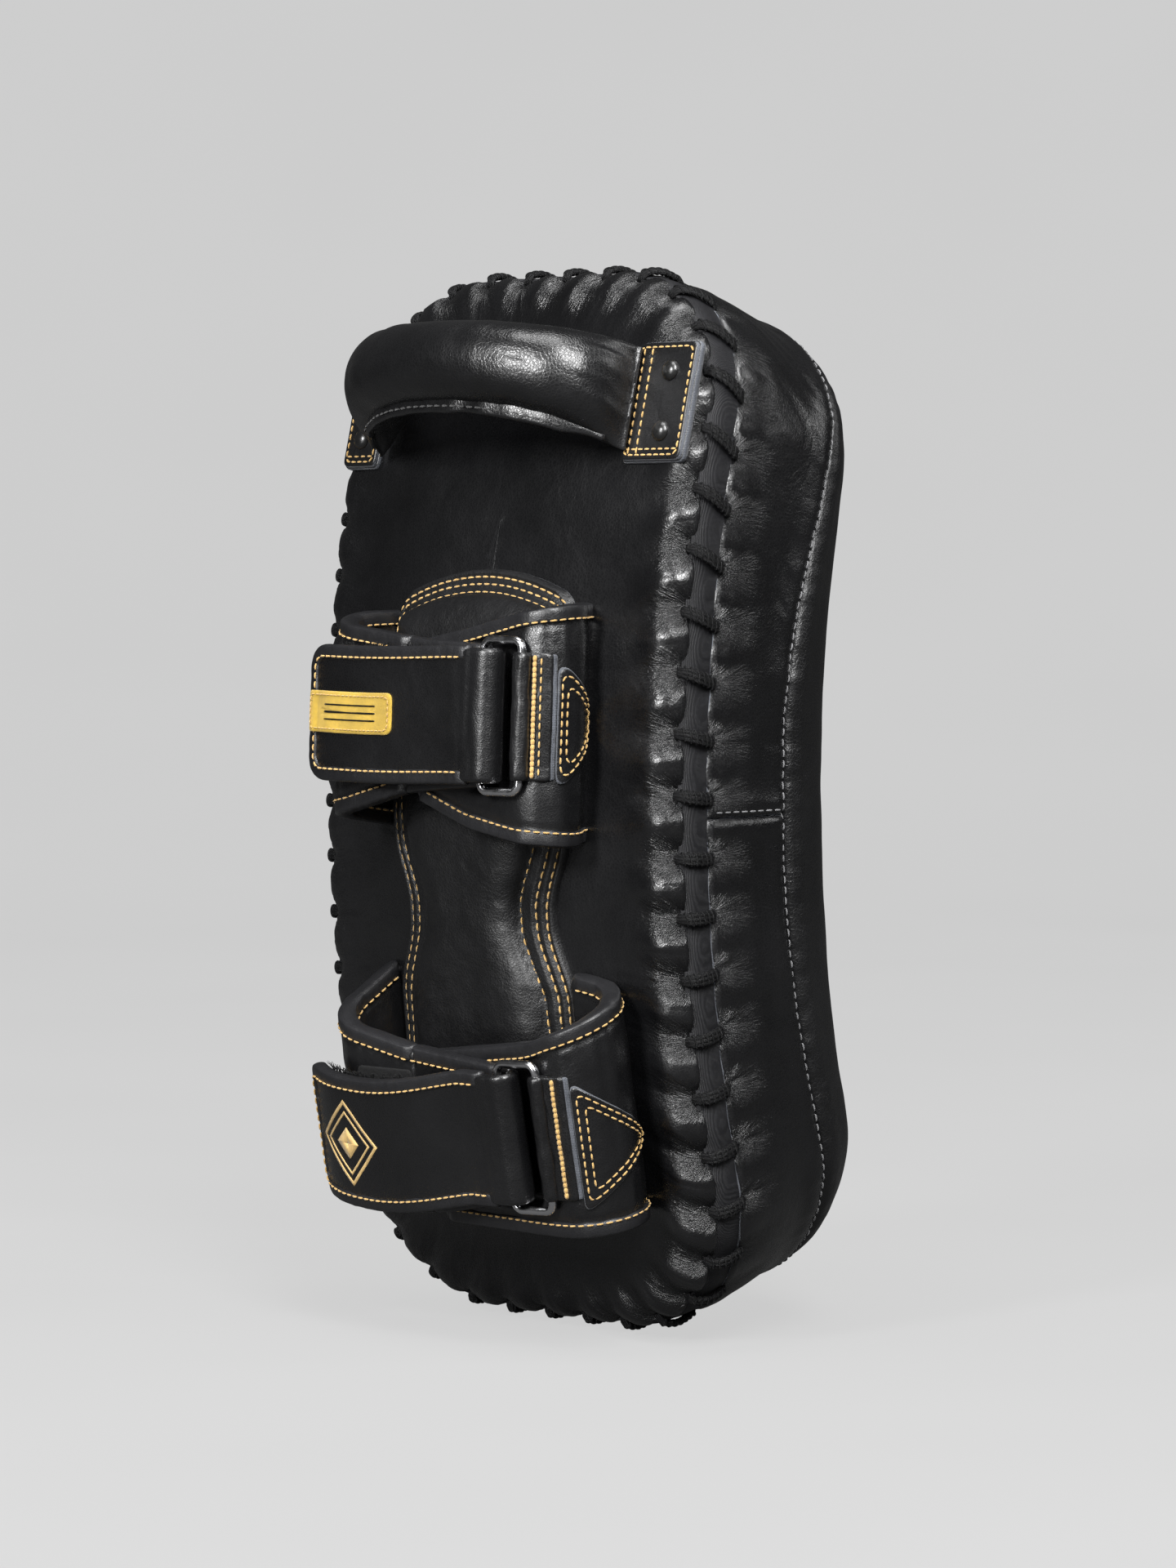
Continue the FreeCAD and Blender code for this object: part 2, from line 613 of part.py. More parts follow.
node(tube("handle_core", "{handle_radius} - {handle_skin} - {foam_gap}"))
node(tube("handle_sleeve", "{handle_radius}", "{handle_radius} - {handle_skin}"))

for side, x0, x1 in (("right", "{tab_in}", "{tab_out}"), ("left", "-1 * {tab_out}", "-1 * {tab_in}")):
    tab, pad = block("handle_tab_" + side, "XZ_Plane", x0, x1,
                     "-0.5 * {tab_tall}", "0.5 * {tab_tall}", "{tab_thick}")
    ids = [("Edge%d" % (k + 1)) for k, e in enumerate(tab.Shape.Edges)
           if isinstance(e.Curve, Part.Line) and abs(e.Vertexes[0].Y - e.Vertexes[-1].Y) > 1]
    add_fillet(tab, pad, ids, "handle_tab_%s_corners" % side, "4 + 0 * {tab_thick}")
    put(tab, "{handle_angle} - 0.0871 * {tab_drop}", "0.5 * {tab_thick} + {seat_gap}")
    # seats for the two rivets
    sk = new_sketch(tab, "XZ_Plane", "handle_tab_%s_holes" % side)
    mid = "{rivet_x}" if side == "right" else "-1 * {rivet_x}"
    for k, up in enumerate(("0.5 * {rivet_pitch}", "-0.5 * {rivet_pitch}")):
        sk.addGeometry(Part.Circle(V(calc(mid), calc(up), 0), V(0, 0, 1), 1.6), False)
        dim(sk, "DistanceX", (-1, 1, k, 3), mid, "hx_%d" % k)
        dim(sk, "DistanceY", (-1, 1, k, 3), up, "hy_%d" % k)
        dim(sk, "Radius", (k,), "0.45 * {rivet_head}", "hr_%d" % k)
    pocket = tab.newObject("PartDesign::Pocket", "handle_tab_%s_bores" % side)
    pocket.Profile = sk
    pocket.SideType = "Symmetric"
    bind(pocket, "Length", "3 * {tab_thick}")
    doc.recompute()
    tab.Tip = pocket
    node(tab)


def rivet(label, x_expr, up_sign):
    """Domed head and shank, turned about the shank axis."""
    body = new_body(label)
    sk = new_sketch(body, "XY_Plane", label + "_outline")
    r, dome, shank = num("rivet_head"), num("rivet_dome"), 0.4 * num("rivet_head")
    length = num("tab_thick")
    ball = (r * r + dome * dome) / (2 * dome)
    a = math.asin(r / ball)
    sk.addGeometry(Part.ArcOfCircle(Part.Circle(V(0, -dome + ball, 0), V(0, 0, 1), ball),
                                    -math.pi / 2, -math.pi / 2 + a), False)
    pts = [V(r, 0, 0), V(shank, 0, 0), V(shank, length, 0), V(0, length, 0), V(0, -dome, 0)]
    for k in range(4):
        sk.addGeometry(Part.LineSegment(pts[k], pts[k + 1]), False)
    sk.addConstraint([C("Coincident", 0, 2, 1, 1), C("Coincident", 1, 2, 2, 1), C("Coincident", 2, 2, 3, 1),
                      C("Coincident", 3, 2, 4, 1), C("Coincident", 4, 2, 0, 1), C("Horizontal", 1),
                      C("Vertical", 2), C("Horizontal", 3), C("PointOnObject", 4, 1, -2),
                      C("PointOnObject", 4, 2, -2), C("PointOnObject", 0, 3, -2),
                      C("PointOnObject", 1, 1, -1)])
    dim(sk, "DistanceX", (-1, 1, 0, 2), "{rivet_head}", "head")
    i = sk.addConstraint(C("DistanceY", 0, 1, -1, 1, dome))
    sk.renameConstraint(i, "dome")
    bind(sk, "Constraints.dome", "{rivet_dome}")
    dim(sk, "DistanceX", (-1, 1, 2, 1), "0.4 * {rivet_head}", "shank")
    dim(sk, "DistanceY", (-1, 1, 2, 2), "{tab_thick}", "length")
    rev = body.newObject("PartDesign::Revolution", label + "_turn")
    rev.Profile = sk
    rev.ReferenceAxis = (sk, ["V_Axis"])
    rev.Angle = 360
    doc.recompute()
    body.Tip = rev
    # the shank runs along local +Y, up through the tab
    ang = "{handle_angle} - 0.0871 * {tab_drop} + %g * 0.0436 * {rivet_pitch}" % up_sign
    flat = "{tab_thick} + {seat_gap} + 0.05"
    base = seat("{handle_angle} - 0.0871 * {tab_drop}", flat)
    up = up_sign * 0.5 * num("rivet_pitch")
    a = math.radians(calc("{handle_angle} - 0.0871 * {tab_drop}"))
    pos = base.Base + V(calc(x_expr), up * math.sin(a), up * math.cos(a))
    body.Placement = FreeCAD.Placement(pos, base.Rotation)
    ax = "({handle_angle} - 0.0871 * {tab_drop}) * 1 deg"
    rr = "({bend_radius} + {back_depth} + {tab_thick} + {seat_gap} + 0.05)"
    bind(body, "Placement.Base.x", x_expr)
    bind(body, "Placement.Base.y", CENTRE_Y + " - " + rr + " * cos(" + ax + ") + %g * {rivet_pitch} * sin(" % (0.5 * up_sign) + ax + ")")
    bind(body, "Placement.Base.z", CENTRE_Z + " + " + rr + " * sin(" + ax + ") + %g * {rivet_pitch} * cos(" % (0.5 * up_sign) + ax + ")")
    return body


rivets = []
for sx, name in ((1, "right"), (-1, "left")):
    for up, word in ((1, "top"), (-1, "low")):
        rivets.append(rivet("rivet_%s_%s" % (name, word), "%d * {rivet_x}" % sx, up))
group = doc.addObject("Part::Compound", "handle_rivets")
group.Label = "handle_rivets"
group.Links = rivets
node(group)

# ------------------------------------------------------------------ cuffs
LIFT = "0 * {seat_gap} + {seat_gap}"


def slab_profile(half_thick, half_tall, at_x="0 * {wing_thick}"):
    def draw(sk):
        rect(sk, at_x + " - " + half_thick, at_x + " + " + half_thick,
             "-1 * " + half_tall, half_tall)
    return draw


def hem_profile(sign, at_x):
    """Binding folded over one edge of a wing: a U open towards the wing."""
    t_out = "0.5 * {wing_thick} + {bind_thick}"
    t_in = "0.5 * {wing_thick} + 0.05"
    z_in = "%g * {wing_tall} %+g" % (0.5 * sign, 0.05 * sign)
    z_out = "%g * {wing_tall} %+g * {bind_thick}" % (0.5 * sign, sign)
    z_leg = "%g * {wing_tall} %+g * {bind_tall}" % (0.5 * sign, -sign)

    def draw(sk):
        polygon(sk, [(at_x + " - " + t_out.replace("+", "-"), z_leg),
                     (at_x + " - " + t_out.replace("+", "-"), z_out),
                     (at_x + " + " + t_out, z_out), (at_x + " + " + t_out, z_leg),
                     (at_x + " + " + t_in, z_leg), (at_x + " + " + t_in, z_in),
                     (at_x + " - " + t_in.replace("+", "-"), z_in),
                     (at_x + " - " + t_in.replace("+", "-"), z_leg)])
    return draw


def wing(label, angle, start_x, start_y, heading, segs, at_x):
    main = swept(label, start_x, start_y, heading, segs,
                 slab_profile("0.5 * {wing_thick}", "0.5 * {wing_tall}", at_x))
    put(main, angle, LIFT)
    node(main)
    hems = []
    for sign, word in ((1, "top"), (-1, "low")):
        hem = swept(label + "_hem_" + word, start_x, start_y, heading, segs, hem_profile(sign, at_x))
        put(hem, angle, LIFT)
        hems.append(hem)
    both = doc.addObject("Part::Compound", label + "_binding")
    both.Label = label + "_binding"
    both.Links = hems
    node(both)
    return main


U = "{upper_angle}"
L = "{lower_angle}"

# ring wing of the upper cuff: leaves the back, bulges out, turns across the front
wing("upper_ring_wing", U, "{upper_start}", "0 * {seat_gap}", -90,
     [("arc", "{upper_turn}", "45 + 0 * {upper_turn}", 1),
      ("arc", "{upper_round}", "135 + 0 * {upper_round}", -1),
      ("line", "{upper_flat}")], "{upper_start}")
# strap wing of the upper cuff
wing("upper_strap_wing", U, "-1 * {upper_left}", "0 * {seat_gap}", -90,
     [("line", "{upper_left_rise}"),
      ("arc", "{upper_left_round}", "90 + 0 * {upper_left_round}", 1),
      ("line", "{upper_left_flat}")], "-1 * {upper_left}")
# lower cuff: the ring wing runs out along the back first
wing("lower_ring_wing", L, "{lower_start}", "-1 * {lower_foot}", 0,
     [("line", "{lower_run}"),
      ("arc", "{lower_round}", "180 + 0 * {lower_round}", -1),
      ("line", "{lower_flat}")], "-1 * {lower_foot}")
wing("lower_strap_wing", L, "-1 * {lower_left}", "0 * {seat_gap}", -90,
     [("line", "{lower_left_rise}"),
      ("arc", "{lower_left_round}", "90 + 0 * {lower_left_round}", 1),
      ("line", "{lower_left_flat}")], "-1 * {lower_left}")


def wire_ring(label, x_expr, w_expr, bar_expr, angle):
    """Rectangular wire ring; the pivot wire is at the local origin."""
    body = new_body(label)
    path = new_sketch(body, "XZ_Plane", label + "_path")
    W, H, R = num("ring_wide"), num("ring_tall") / 2, num("ring_corner")
    # lines: right (pivot), top, left, bottom; arcs between
    path.addGeometry(Part.LineSegment(V(0, -H + R, 0), V(0, H - R, 0)), False)
    path.addGeometry(Part.ArcOfCircle(Part.Circle(V(-R, H - R, 0), V(0, 0, 1), R), 0, math.pi / 2), False)
    path.addGeometry(Part.LineSegment(V(-R, H, 0), V(-W + R, H, 0)), False)
    path.addGeometry(Part.ArcOfCircle(Part.Circle(V(-W + R, H - R, 0), V(0, 0, 1), R), math.pi / 2, math.pi), False)
    path.addGeometry(Part.LineSegment(V(-W, H - R, 0), V(-W, -H + R, 0)), False)
    path.addGeometry(Part.ArcOfCircle(Part.Circle(V(-W + R, -H + R, 0), V(0, 0, 1), R), math.pi, 1.5 * math.pi), False)
    path.addGeometry(Part.LineSegment(V(-W + R, -H, 0), V(-R, -H, 0)), False)
    path.addGeometry(Part.ArcOfCircle(Part.Circle(V(-R, -H + R, 0), V(0, 0, 1), R), 1.5 * math.pi, 2 * math.pi), False)
    for k in range(8):
        path.addConstraint(C("Tangent", k, 2, (k + 1) % 8, 1))
    path.addConstraint([C("Vertical", 0), C("PointOnObject", 0, 1, -2)])
    for k in (1, 3, 5, 7):
        dim(path, "Radius", (k,), "{ring_corner}", "corner_%d" % k)
    dim(path, "DistanceY", (-1, 1, 2, 1), "0.5 * {ring_tall}", "top")
    i = path.addConstraint(C("DistanceY", 6, 1, -1, 1, H))
    path.renameConstraint(i, "bottom")
    bind(path, "Constraints.bottom", "0.5 * {ring_tall}")
    i = path.addConstraint(C("DistanceX", 4, 1, -1, 1, W))
    path.renameConstraint(i, "width")
    bind(path, "Constraints.width", "{ring_wide}")
    doc.recompute()
    prof = new_sketch(body, "XY_Plane", label + "_wire")
    prof.addGeometry(Part.Circle(V(0, 0, 0), V(0, 0, 1), num("wire_radius")), False)
    prof.addConstraint(C("Coincident", 0, 3, -1, 1))
    dim(prof, "Radius", (0,), "{wire_radius}", "wire")
    doc.recompute()
    pipe = body.newObject("PartDesign::AdditivePipe", label + "_sweep")
    pipe.Profile = prof
    pipe.Spine = path
    doc.recompute()
    body.Tip = pipe
    return body


def place_tilted(obj, angle_expr, x, w, tilt):
    """Local placement on a cuff: x, distance w from the back, tilt about local Z."""
    base = seat(angle_expr, LIFT)
    turn = FreeCAD.Rotation(V(0, 0, 1), tilt)
    local = FreeCAD.Placement(V(x, -w, 0), turn)
    obj.Placement = base.multiply(local)
    return obj


for cuff, A in (("upper", U), ("lower", L)):
    rx, rw = num(cuff + "_ring_x"), num(cuff + "_ring_w")
    bw = num(cuff + "_bar_w")
    tilt = math.degrees(math.asin((bw - rw) / num("ring_wide")))
    bx = rx - num("ring_wide") * math.cos(math.radians(tilt))
    # keeper: a channel round the pivot wire, open towards the holder, with a
    # flap sewn to the wing
    keeper = new_body(cuff + "_ring_keeper")
    sk = new_sketch(keeper, "XY_Plane", cuff + "_keeper_outline")
    ri, ro = num("wire_radius") + 0.05, num("wire_radius") + 0.05 + num("keeper_skin")
    a0, a1 = math.radians(-55), math.radians(195)
    circle = lambda r: Part.Circle(V(0, 0, 0), V(0, 0, 1), r)
    sk.addGeometry(Part.ArcOfCircle(circle(ri), a0, a1), False)
    sk.addGeometry(Part.ArcOfCircle(circle(ro), a0, a1), False)
    at = lambda r, a: V(r * math.cos(a), r * math.sin(a), 0)
    sk.addGeometry(Part.LineSegment(at(ri, a0), at(ro, a0)), False)
    sk.addGeometry(Part.LineSegment(at(ri, a1), at(ro, a1)), False)
    sk.addConstraint([C("Coincident", 0, 1, 2, 1), C("Coincident", 1, 1, 2, 2), C("Coincident", 0, 2, 3, 1),
                      C("Coincident", 1, 2, 3, 2), C("Coincident", 0, 3, -1, 1), C("Coincident", 1, 3, -1, 1),
                      C("PointOnObject", -1, 1, 2), C("PointOnObject", -1, 1, 3)])
    dim(sk, "Radius", (0,), "{wire_radius} + 0.05", "bore")
    dim(sk, "Radius", (1,), "{wire_radius} + 0.05 + {keeper_skin}", "outside")
    sk.addConstraint(C("Angle", 2, a0))
    sk.addConstraint(C("Angle", 3, a1 - 2 * math.pi))
    pad = keeper.newObject("PartDesign::Pad", cuff + "_keeper_channel")
    pad.Profile = sk
    pad.SideType = "Symmetric"
    bind(pad, "Length", "{keeper_tall}")
    doc.recompute()
    keeper.Tip = pad
    place_tilted(keeper, A, rx, rw, 0.0)
    bind(keeper, "Placement.Base.x", "{%s_ring_x}" % cuff)
    # flap: follows the outside of the wing away from the ring
    if cuff == "upper":
        cxw, cww, rr = 48.72, 16.27, num("upper_round")
        start, stop = math.radians(-76), math.radians(-36)
    else:
        cxw, cww, rr = num("lower_start") + num("lower_run"), num("lower_foot") + num("lower_round"), num("lower_round")
        start, stop = math.radians(-96), math.radians(-46)
    inner_r = rr + num("wing_thick") / 2 + 0.2
    outer_r = inner_r + num("keeper_skin")
    ox, oy = cxw - rx, -(cww - rw)
    flap = new_sketch(keeper, "XY_Plane", cuff + "_keeper_flap")
    mk = lambda r: Part.Circle(V(ox, oy, 0), V(0, 0, 1), r)
    pt = lambda r, a: V(ox + r * math.cos(a), oy + r * math.sin(a), 0)
    flap.addGeometry(Part.ArcOfCircle(mk(inner_r), start, stop), False)
    flap.addGeometry(Part.ArcOfCircle(mk(outer_r), start, stop), False)
    flap.addGeometry(Part.LineSegment(pt(inner_r, start), pt(outer_r, start)), False)
    flap.addGeometry(Part.LineSegment(pt(inner_r, stop), pt(outer_r, stop)), False)
    flap.addConstraint([C("Coincident", 0, 1, 2, 1), C("Coincident", 1, 1, 2, 2), C("Coincident", 0, 2, 3, 1),
                        C("Coincident", 1, 2, 3, 2), C("Coincident", 0, 3, 1, 3)])
    flap.addConstraint([C("DistanceX", -1, 1, 0, 3, ox), C("DistanceY", -1, 1, 0, 3, oy)])
    i = flap.addConstraint(C("Radius", 0, inner_r))
    flap.renameConstraint(i, "under")
    bind(flap, "Constraints.under", "{%s_round} + 0.5 * {wing_thick} + 0.2" % cuff)
    i = flap.addConstraint(C("Radius", 1, outer_r))
    flap.renameConstraint(i, "over")
    bind(flap, "Constraints.over", "{%s_round} + 0.5 * {wing_thick} + 0.2 + {keeper_skin}" % cuff)
    flap.addConstraint([C("PointOnObject", 0, 3, 2), C("PointOnObject", 0, 3, 3)])
    flap.addConstraint([C("Angle", 2, start), C("Angle", 3, stop)])
    pad2 = keeper.newObject("PartDesign::Pad", cuff + "_keeper_flap_pad")
    pad2.Profile = flap
    pad2.SideType = "Symmetric"
    bind(pad2, "Length", "{keeper_tall}")
    doc.recompute()
    keeper.Tip = pad2
    node(keeper)

    # reinforcement patch sewn on the wing beyond the flap
    patch = new_body(cuff + "_ring_patch")
    sk = new_sketch(patch, "XY_Plane", cuff + "_patch_outline")
    s0, s1 = stop + math.radians(2), stop + math.radians(62 if cuff == "upper" else 58)
    in2, out2 = inner_r, inner_r + num("patch_thick")
    pc = lambda r: Part.Circle(V(cxw, -cww, 0), V(0, 0, 1), r)
    pp = lambda r, a: V(cxw + r * math.cos(a), -cww + r * math.sin(a), 0)
    sk.addGeometry(Part.ArcOfCircle(pc(in2), s0, s1), False)
    sk.addGeometry(Part.ArcOfCircle(pc(out2), s0, s1), False)
    sk.addGeometry(Part.LineSegment(pp(in2, s0), pp(out2, s0)), False)
    sk.addGeometry(Part.LineSegment(pp(in2, s1), pp(out2, s1)), False)
    sk.addConstraint([C("Coincident", 0, 1, 2, 1), C("Coincident", 1, 1, 2, 2), C("Coincident", 0, 2, 3, 1),
                      C("Coincident", 1, 2, 3, 2), C("Coincident", 0, 3, 1, 3)])
    sk.addConstraint([C("DistanceX", -1, 1, 0, 3, cxw), C("DistanceY", -1, 1, 0, 3, -cww)])
    i = sk.addConstraint(C("Radius", 0, in2))
    sk.renameConstraint(i, "under")
    bind(sk, "Constraints.under", "{%s_round} + 0.5 * {wing_thick} + 0.2" % cuff)
    i = sk.addConstraint(C("Radius", 1, out2))
    sk.renameConstraint(i, "over")
    bind(sk, "Constraints.over", "{%s_round} + 0.5 * {wing_thick} + 0.2 + {patch_thick}" % cuff)
    sk.addConstraint([C("PointOnObject", 0, 3, 2), C("PointOnObject", 0, 3, 3)])
    sk.addConstraint([C("Angle", 2, s0), C("Angle", 3, s1)])
    pad = patch.newObject("PartDesign::Pad", cuff + "_patch_pad")
    pad.Profile = sk
    pad.SideType = "Symmetric"
    bind(pad, "Length", "{strap_tall}")
    doc.recompute()
    patch.Tip = pad
    put(patch, A, LIFT)
    node(patch)

    # ring
    ring = wire_ring(cuff + "_ring", rx, rw, bw, A)
    place_tilted(ring, A, rx, rw, tilt)
    bind(ring, "Placement.Base.x", "{%s_ring_x}" % cuff)
    node(ring)

    # strap: inner run from the strap wing to the ring, all at the ring's
    # outer wire; the fold and tail go round that wire
    t = num("strap_thick")
    fi = num("fold_inner")
    run_lo = "{%s_bar_w} - {fold_inner} - {strap_thick}" % cuff
    run_hi = "{%s_bar_w} - {fold_inner}" % cuff
    left_end = "-1 * {%s_left} + {%s_left_round} + {%s_left_flat} + 0.1" % (cuff, cuff, cuff)
    inner_run, pad = block(cuff + "_strap_inner", "XZ_Plane", left_end,
                           "%.4f + 0 * {ring_wide} - {fold_inner} - {strap_thick} - 0.3" % bx,
                           "-0.5 * {strap_tall}", "0.5 * {strap_tall}", "{strap_thick}",
                           "{%s_bar_w} - {fold_inner} - 0.5 * {strap_thick}" % cuff)
    put(inner_run, A, LIFT)
    node(inner_run)

    fold = new_body(cuff + "_strap_fold")
    sk = new_sketch(fold, "XY_Plane", cuff + "_fold_outline")
    a0, a1 = math.radians(-90), math.radians(90)
    sk.addGeometry(Part.ArcOfCircle(circle(fi), a0, a1), False)
    sk.addGeometry(Part.ArcOfCircle(circle(fi + t), a0, a1), False)
    sk.addGeometry(Part.LineSegment(at(fi, a0), at(fi + t, a0)), False)
    sk.addGeometry(Part.LineSegment(at(fi, a1), at(fi + t, a1)), False)
    sk.addConstraint([C("Coincident", 0, 1, 2, 1), C("Coincident", 1, 1, 2, 2), C("Coincident", 0, 2, 3, 1),
                      C("Coincident", 1, 2, 3, 2), C("Coincident", 0, 3, -1, 1), C("Coincident", 1, 3, -1, 1),
                      C("Vertical", 2), C("Vertical", 3)])
    dim(sk, "Radius", (0,), "{fold_inner}", "inside")
    dim(sk, "Radius", (1,), "{fold_inner} + {strap_thick}", "outside")
    pad = fold.newObject("PartDesign::Pad", cuff + "_fold_pad")
    pad.Profile = sk
    pad.SideType = "Symmetric"
    bind(pad, "Length", "{strap_tall}")
    doc.recompute()
    fold.Tip = pad
    place_tilted(fold, A, bx, bw, 0.0)
    node(fold)

    tail, pad = block(cuff + "_strap_tail", "XZ_Plane", "{%s_end_x}" % cuff,
                      "%.4f + 0 * {ring_wide} - 0.05" % bx,
                      "-0.5 * {strap_tall}", "0.5 * {strap_tall}", "{strap_thick}",
                      "{%s_bar_w} + {fold_inner} + 0.5 * {strap_thick}" % cuff)
    ids = [("Edge%d" % (k + 1)) for k, e in enumerate(tail.Shape.Edges)
           if isinstance(e.Curve, Part.Line) and abs(e.Vertexes[0].Y - e.Vertexes[-1].Y) > 1
           and e.Vertexes[0].X < 0]
    add_fillet(tail, pad, ids, cuff + "_tail_corners", "8 + 0 * {strap_tall}")
    put(tail, A, LIFT)
    node(tail)

    # hook patch under the tail, loop patch on the strap wing
    hook, pad = block(cuff + "_hook_patch", "XZ_Plane", "{%s_end_x} + 8" % cuff, "{%s_end_x} + 58" % cuff,
                      "-0.42 * {strap_tall}", "0.42 * {strap_tall}", "0.8 + 0 * {strap_tall}",
                      "{%s_bar_w} + {fold_inner} - 0.45" % cuff)
    put(hook, A, LIFT)
    node(hook)
    loop, pad = block(cuff + "_loop_patch", "XZ_Plane",
                      "-1 * {%s_left} + {%s_left_round} + 1" % (cuff, cuff),
                      "-1 * {%s_left} + {%s_left_round} + {%s_left_flat}" % (cuff, cuff, cuff),
                      "-0.44 * {strap_tall}", "0.44 * {strap_tall}", "0.8 + 0 * {strap_tall}",
                      "{%s_left_rise} + {%s_left_round} + 0.5 * {wing_thick} + 0.45" % (cuff, cuff))
    put(loop, A, LIFT)
    node(loop)

    # sewn-on label plate: plain, on the outside of the tail
    if cuff == "upper":
        label, pad = block("upper_label", "XZ_Plane", "{upper_end_x} + 4", "{upper_end_x} + 46",
                           "-4 + 0 * {strap_tall}", "12 + 0 * {strap_tall}", "0.6 + 0 * {strap_tall}",
                           "{upper_bar_w} + {fold_inner} + {strap_thick} + 0.35")
        put(label, A, LIFT)
        node(label)

# ------------------------------------------------------------------ lacing cord
# one loop over the tape at every stitch, repeated round the outline; a
# pattern along a curved outline has no parametric feature, so the copies are
# placed from code with sizes read from the sheet
loop_body = new_body("lacing_loop_form")
sk = new_sketch(loop_body, "XY_Plane", "lacing_loop_outline")
lr, reach = num("loop_radius"), num("loop_reach")
sk.addGeometry(Part.LineSegment(V(0, -reach - lr, 0), V(0, reach + lr, 0)), False)
sk.addGeometry(Part.ArcOfCircle(Part.Circle(V(0, reach, 0), V(0, 0, 1), lr), 0, math.pi / 2), False)
sk.addGeometry(Part.LineSegment(V(lr, -reach, 0), V(lr, reach, 0)), False)
sk.addGeometry(Part.ArcOfCircle(Part.Circle(V(0, -reach, 0), V(0, 0, 1), lr), -math.pi / 2, 0), False)
sk.addConstraint([C("Coincident", 0, 2, 1, 2), C("Tangent", 1, 1, 2, 2), C("Tangent", 2, 1, 3, 2),
                  C("Coincident", 3, 1, 0, 1), C("PointOnObject", 0, 1, -2), C("PointOnObject", 0, 2, -2),
                  C("PointOnObject", 1, 3, -2), C("PointOnObject", 3, 3, -2)])
dim(sk, "Radius", (1,), "{loop_radius}", "cord")
dim(sk, "DistanceY", (-1, 1, 1, 3), "{loop_reach}", "reach")
i = sk.addConstraint(C("DistanceY", 3, 3, -1, 1, reach))
sk.renameConstraint(i, "reach_low")
bind(sk, "Constraints.reach_low", "{loop_reach}")
rev = loop_body.newObject("PartDesign::Revolution", "lacing_loop_turn")
rev.Profile = sk
rev.ReferenceAxis = (sk, ["V_Axis"])
rev.Angle = 360
doc.recompute()
loop_body.Tip = rev

cy, cz = calc(CENTRE_Y), calc(CENTRE_Z)
Rb = num("bend_radius")
half = num("half_width")
cr = num("corner_radius")
total = math.radians(num("half_angle")) * Rb
side_run = 2 * (total - cr)
end_run = 2 * (half - cr)
corner = math.pi / 2 * cr
# outline walked as x, arc length s and outward normal
stations = []


def outline(u):
    """Point on the outline at distance u from the lower right corner's end."""
    lengths = [side_run, corner, end_run, corner, side_run, corner, end_run, corner]
    k = 0
    u = u % sum(lengths)
    while u > lengths[k]:
        u -= lengths[k]
        k += 1
    if k == 0:
        return half, -total + cr + u, 1, 0
    if k == 1:
        a = u / cr
        return half - cr + cr * math.cos(a), total - cr + cr * math.sin(a), math.cos(a), math.sin(a)
    if k == 2:
        return half - cr - u, total, 0, 1
    if k == 3:
        a = math.pi / 2 + u / cr
        return -half + cr + cr * math.cos(a), total - cr + cr * math.sin(a), math.cos(a), math.sin(a)
    if k == 4:
        return -half, total - cr - u, -1, 0
    if k == 5:
        a = math.pi + u / cr
        return -half + cr + cr * math.cos(a), -total + cr + cr * math.sin(a), math.cos(a), math.sin(a)
    if k == 6:
        return -half + cr + u, -total, 0, -1
    a = 1.5 * math.pi + u / cr
    return half - cr + cr * math.cos(a), -total + cr + cr * math.sin(a), math.cos(a), math.sin(a)


around = 2 * side_run + 2 * end_run + 4 * corner
count = int(round(around / 22.1))
lift = num("loop_radius") + num("loop_lift")
copies = []
for k in range(count):
    x, s, nx, ns = outline((k + 0.5) * around / count)
    ang = s / Rb
    depth = 0.5 * (num("tape_high") - num("tape_low"))
    rho = Rb - depth
    e_s = V(0, math.sin(ang), math.cos(ang))
    e_d = V(0, math.cos(ang), -math.sin(ang))
    base = V(x, cy - rho * math.cos(ang), cz + rho * math.sin(ang))
    n = V(nx, 0, 0) + e_s * ns
    pos = base + n * lift
    third = n.cross(e_d)
    m = FreeCAD.Matrix(n.x, e_d.x, third.x, pos.x,
                       n.y, e_d.y, third.y, pos.y,
                       n.z, e_d.z, third.z, pos.z, 0, 0, 0, 1)
    piece = loop_body.Shape.copy()
    piece.Placement = FreeCAD.Placement(m).multiply(piece.Placement)
    copies.append(piece)
cord = doc.addObject("Part::Feature", "lacing_cord")
cord.Label = "lacing_cord"
cord.Shape = Part.makeCompound(copies)
node(cord)

# ------------------------------------------------------------------ write
doc.recompute()
bad = []
for obj in doc.Objects:
    state = getattr(obj, "State", [])
    if "Invalid" in state or "Error" in state:
        bad.append(obj.Label)
if bad:
    raise RuntimeError("features with errors: " + ", ".join(bad))
os.makedirs("parts", exist_ok=True)
for obj in NODES:
    if obj.Shape.isNull() or not obj.Shape.isValid():
        raise RuntimeError("bad shape: " + obj.Label)
    obj.Shape.exportStep("parts/" + obj.Label + ".step")
    print(obj.Label, len(obj.Shape.Solids), round(obj.Shape.Volume, 1))
box = Part.makeCompound([o.Shape for o in NODES]).BoundBox
print("box", box)
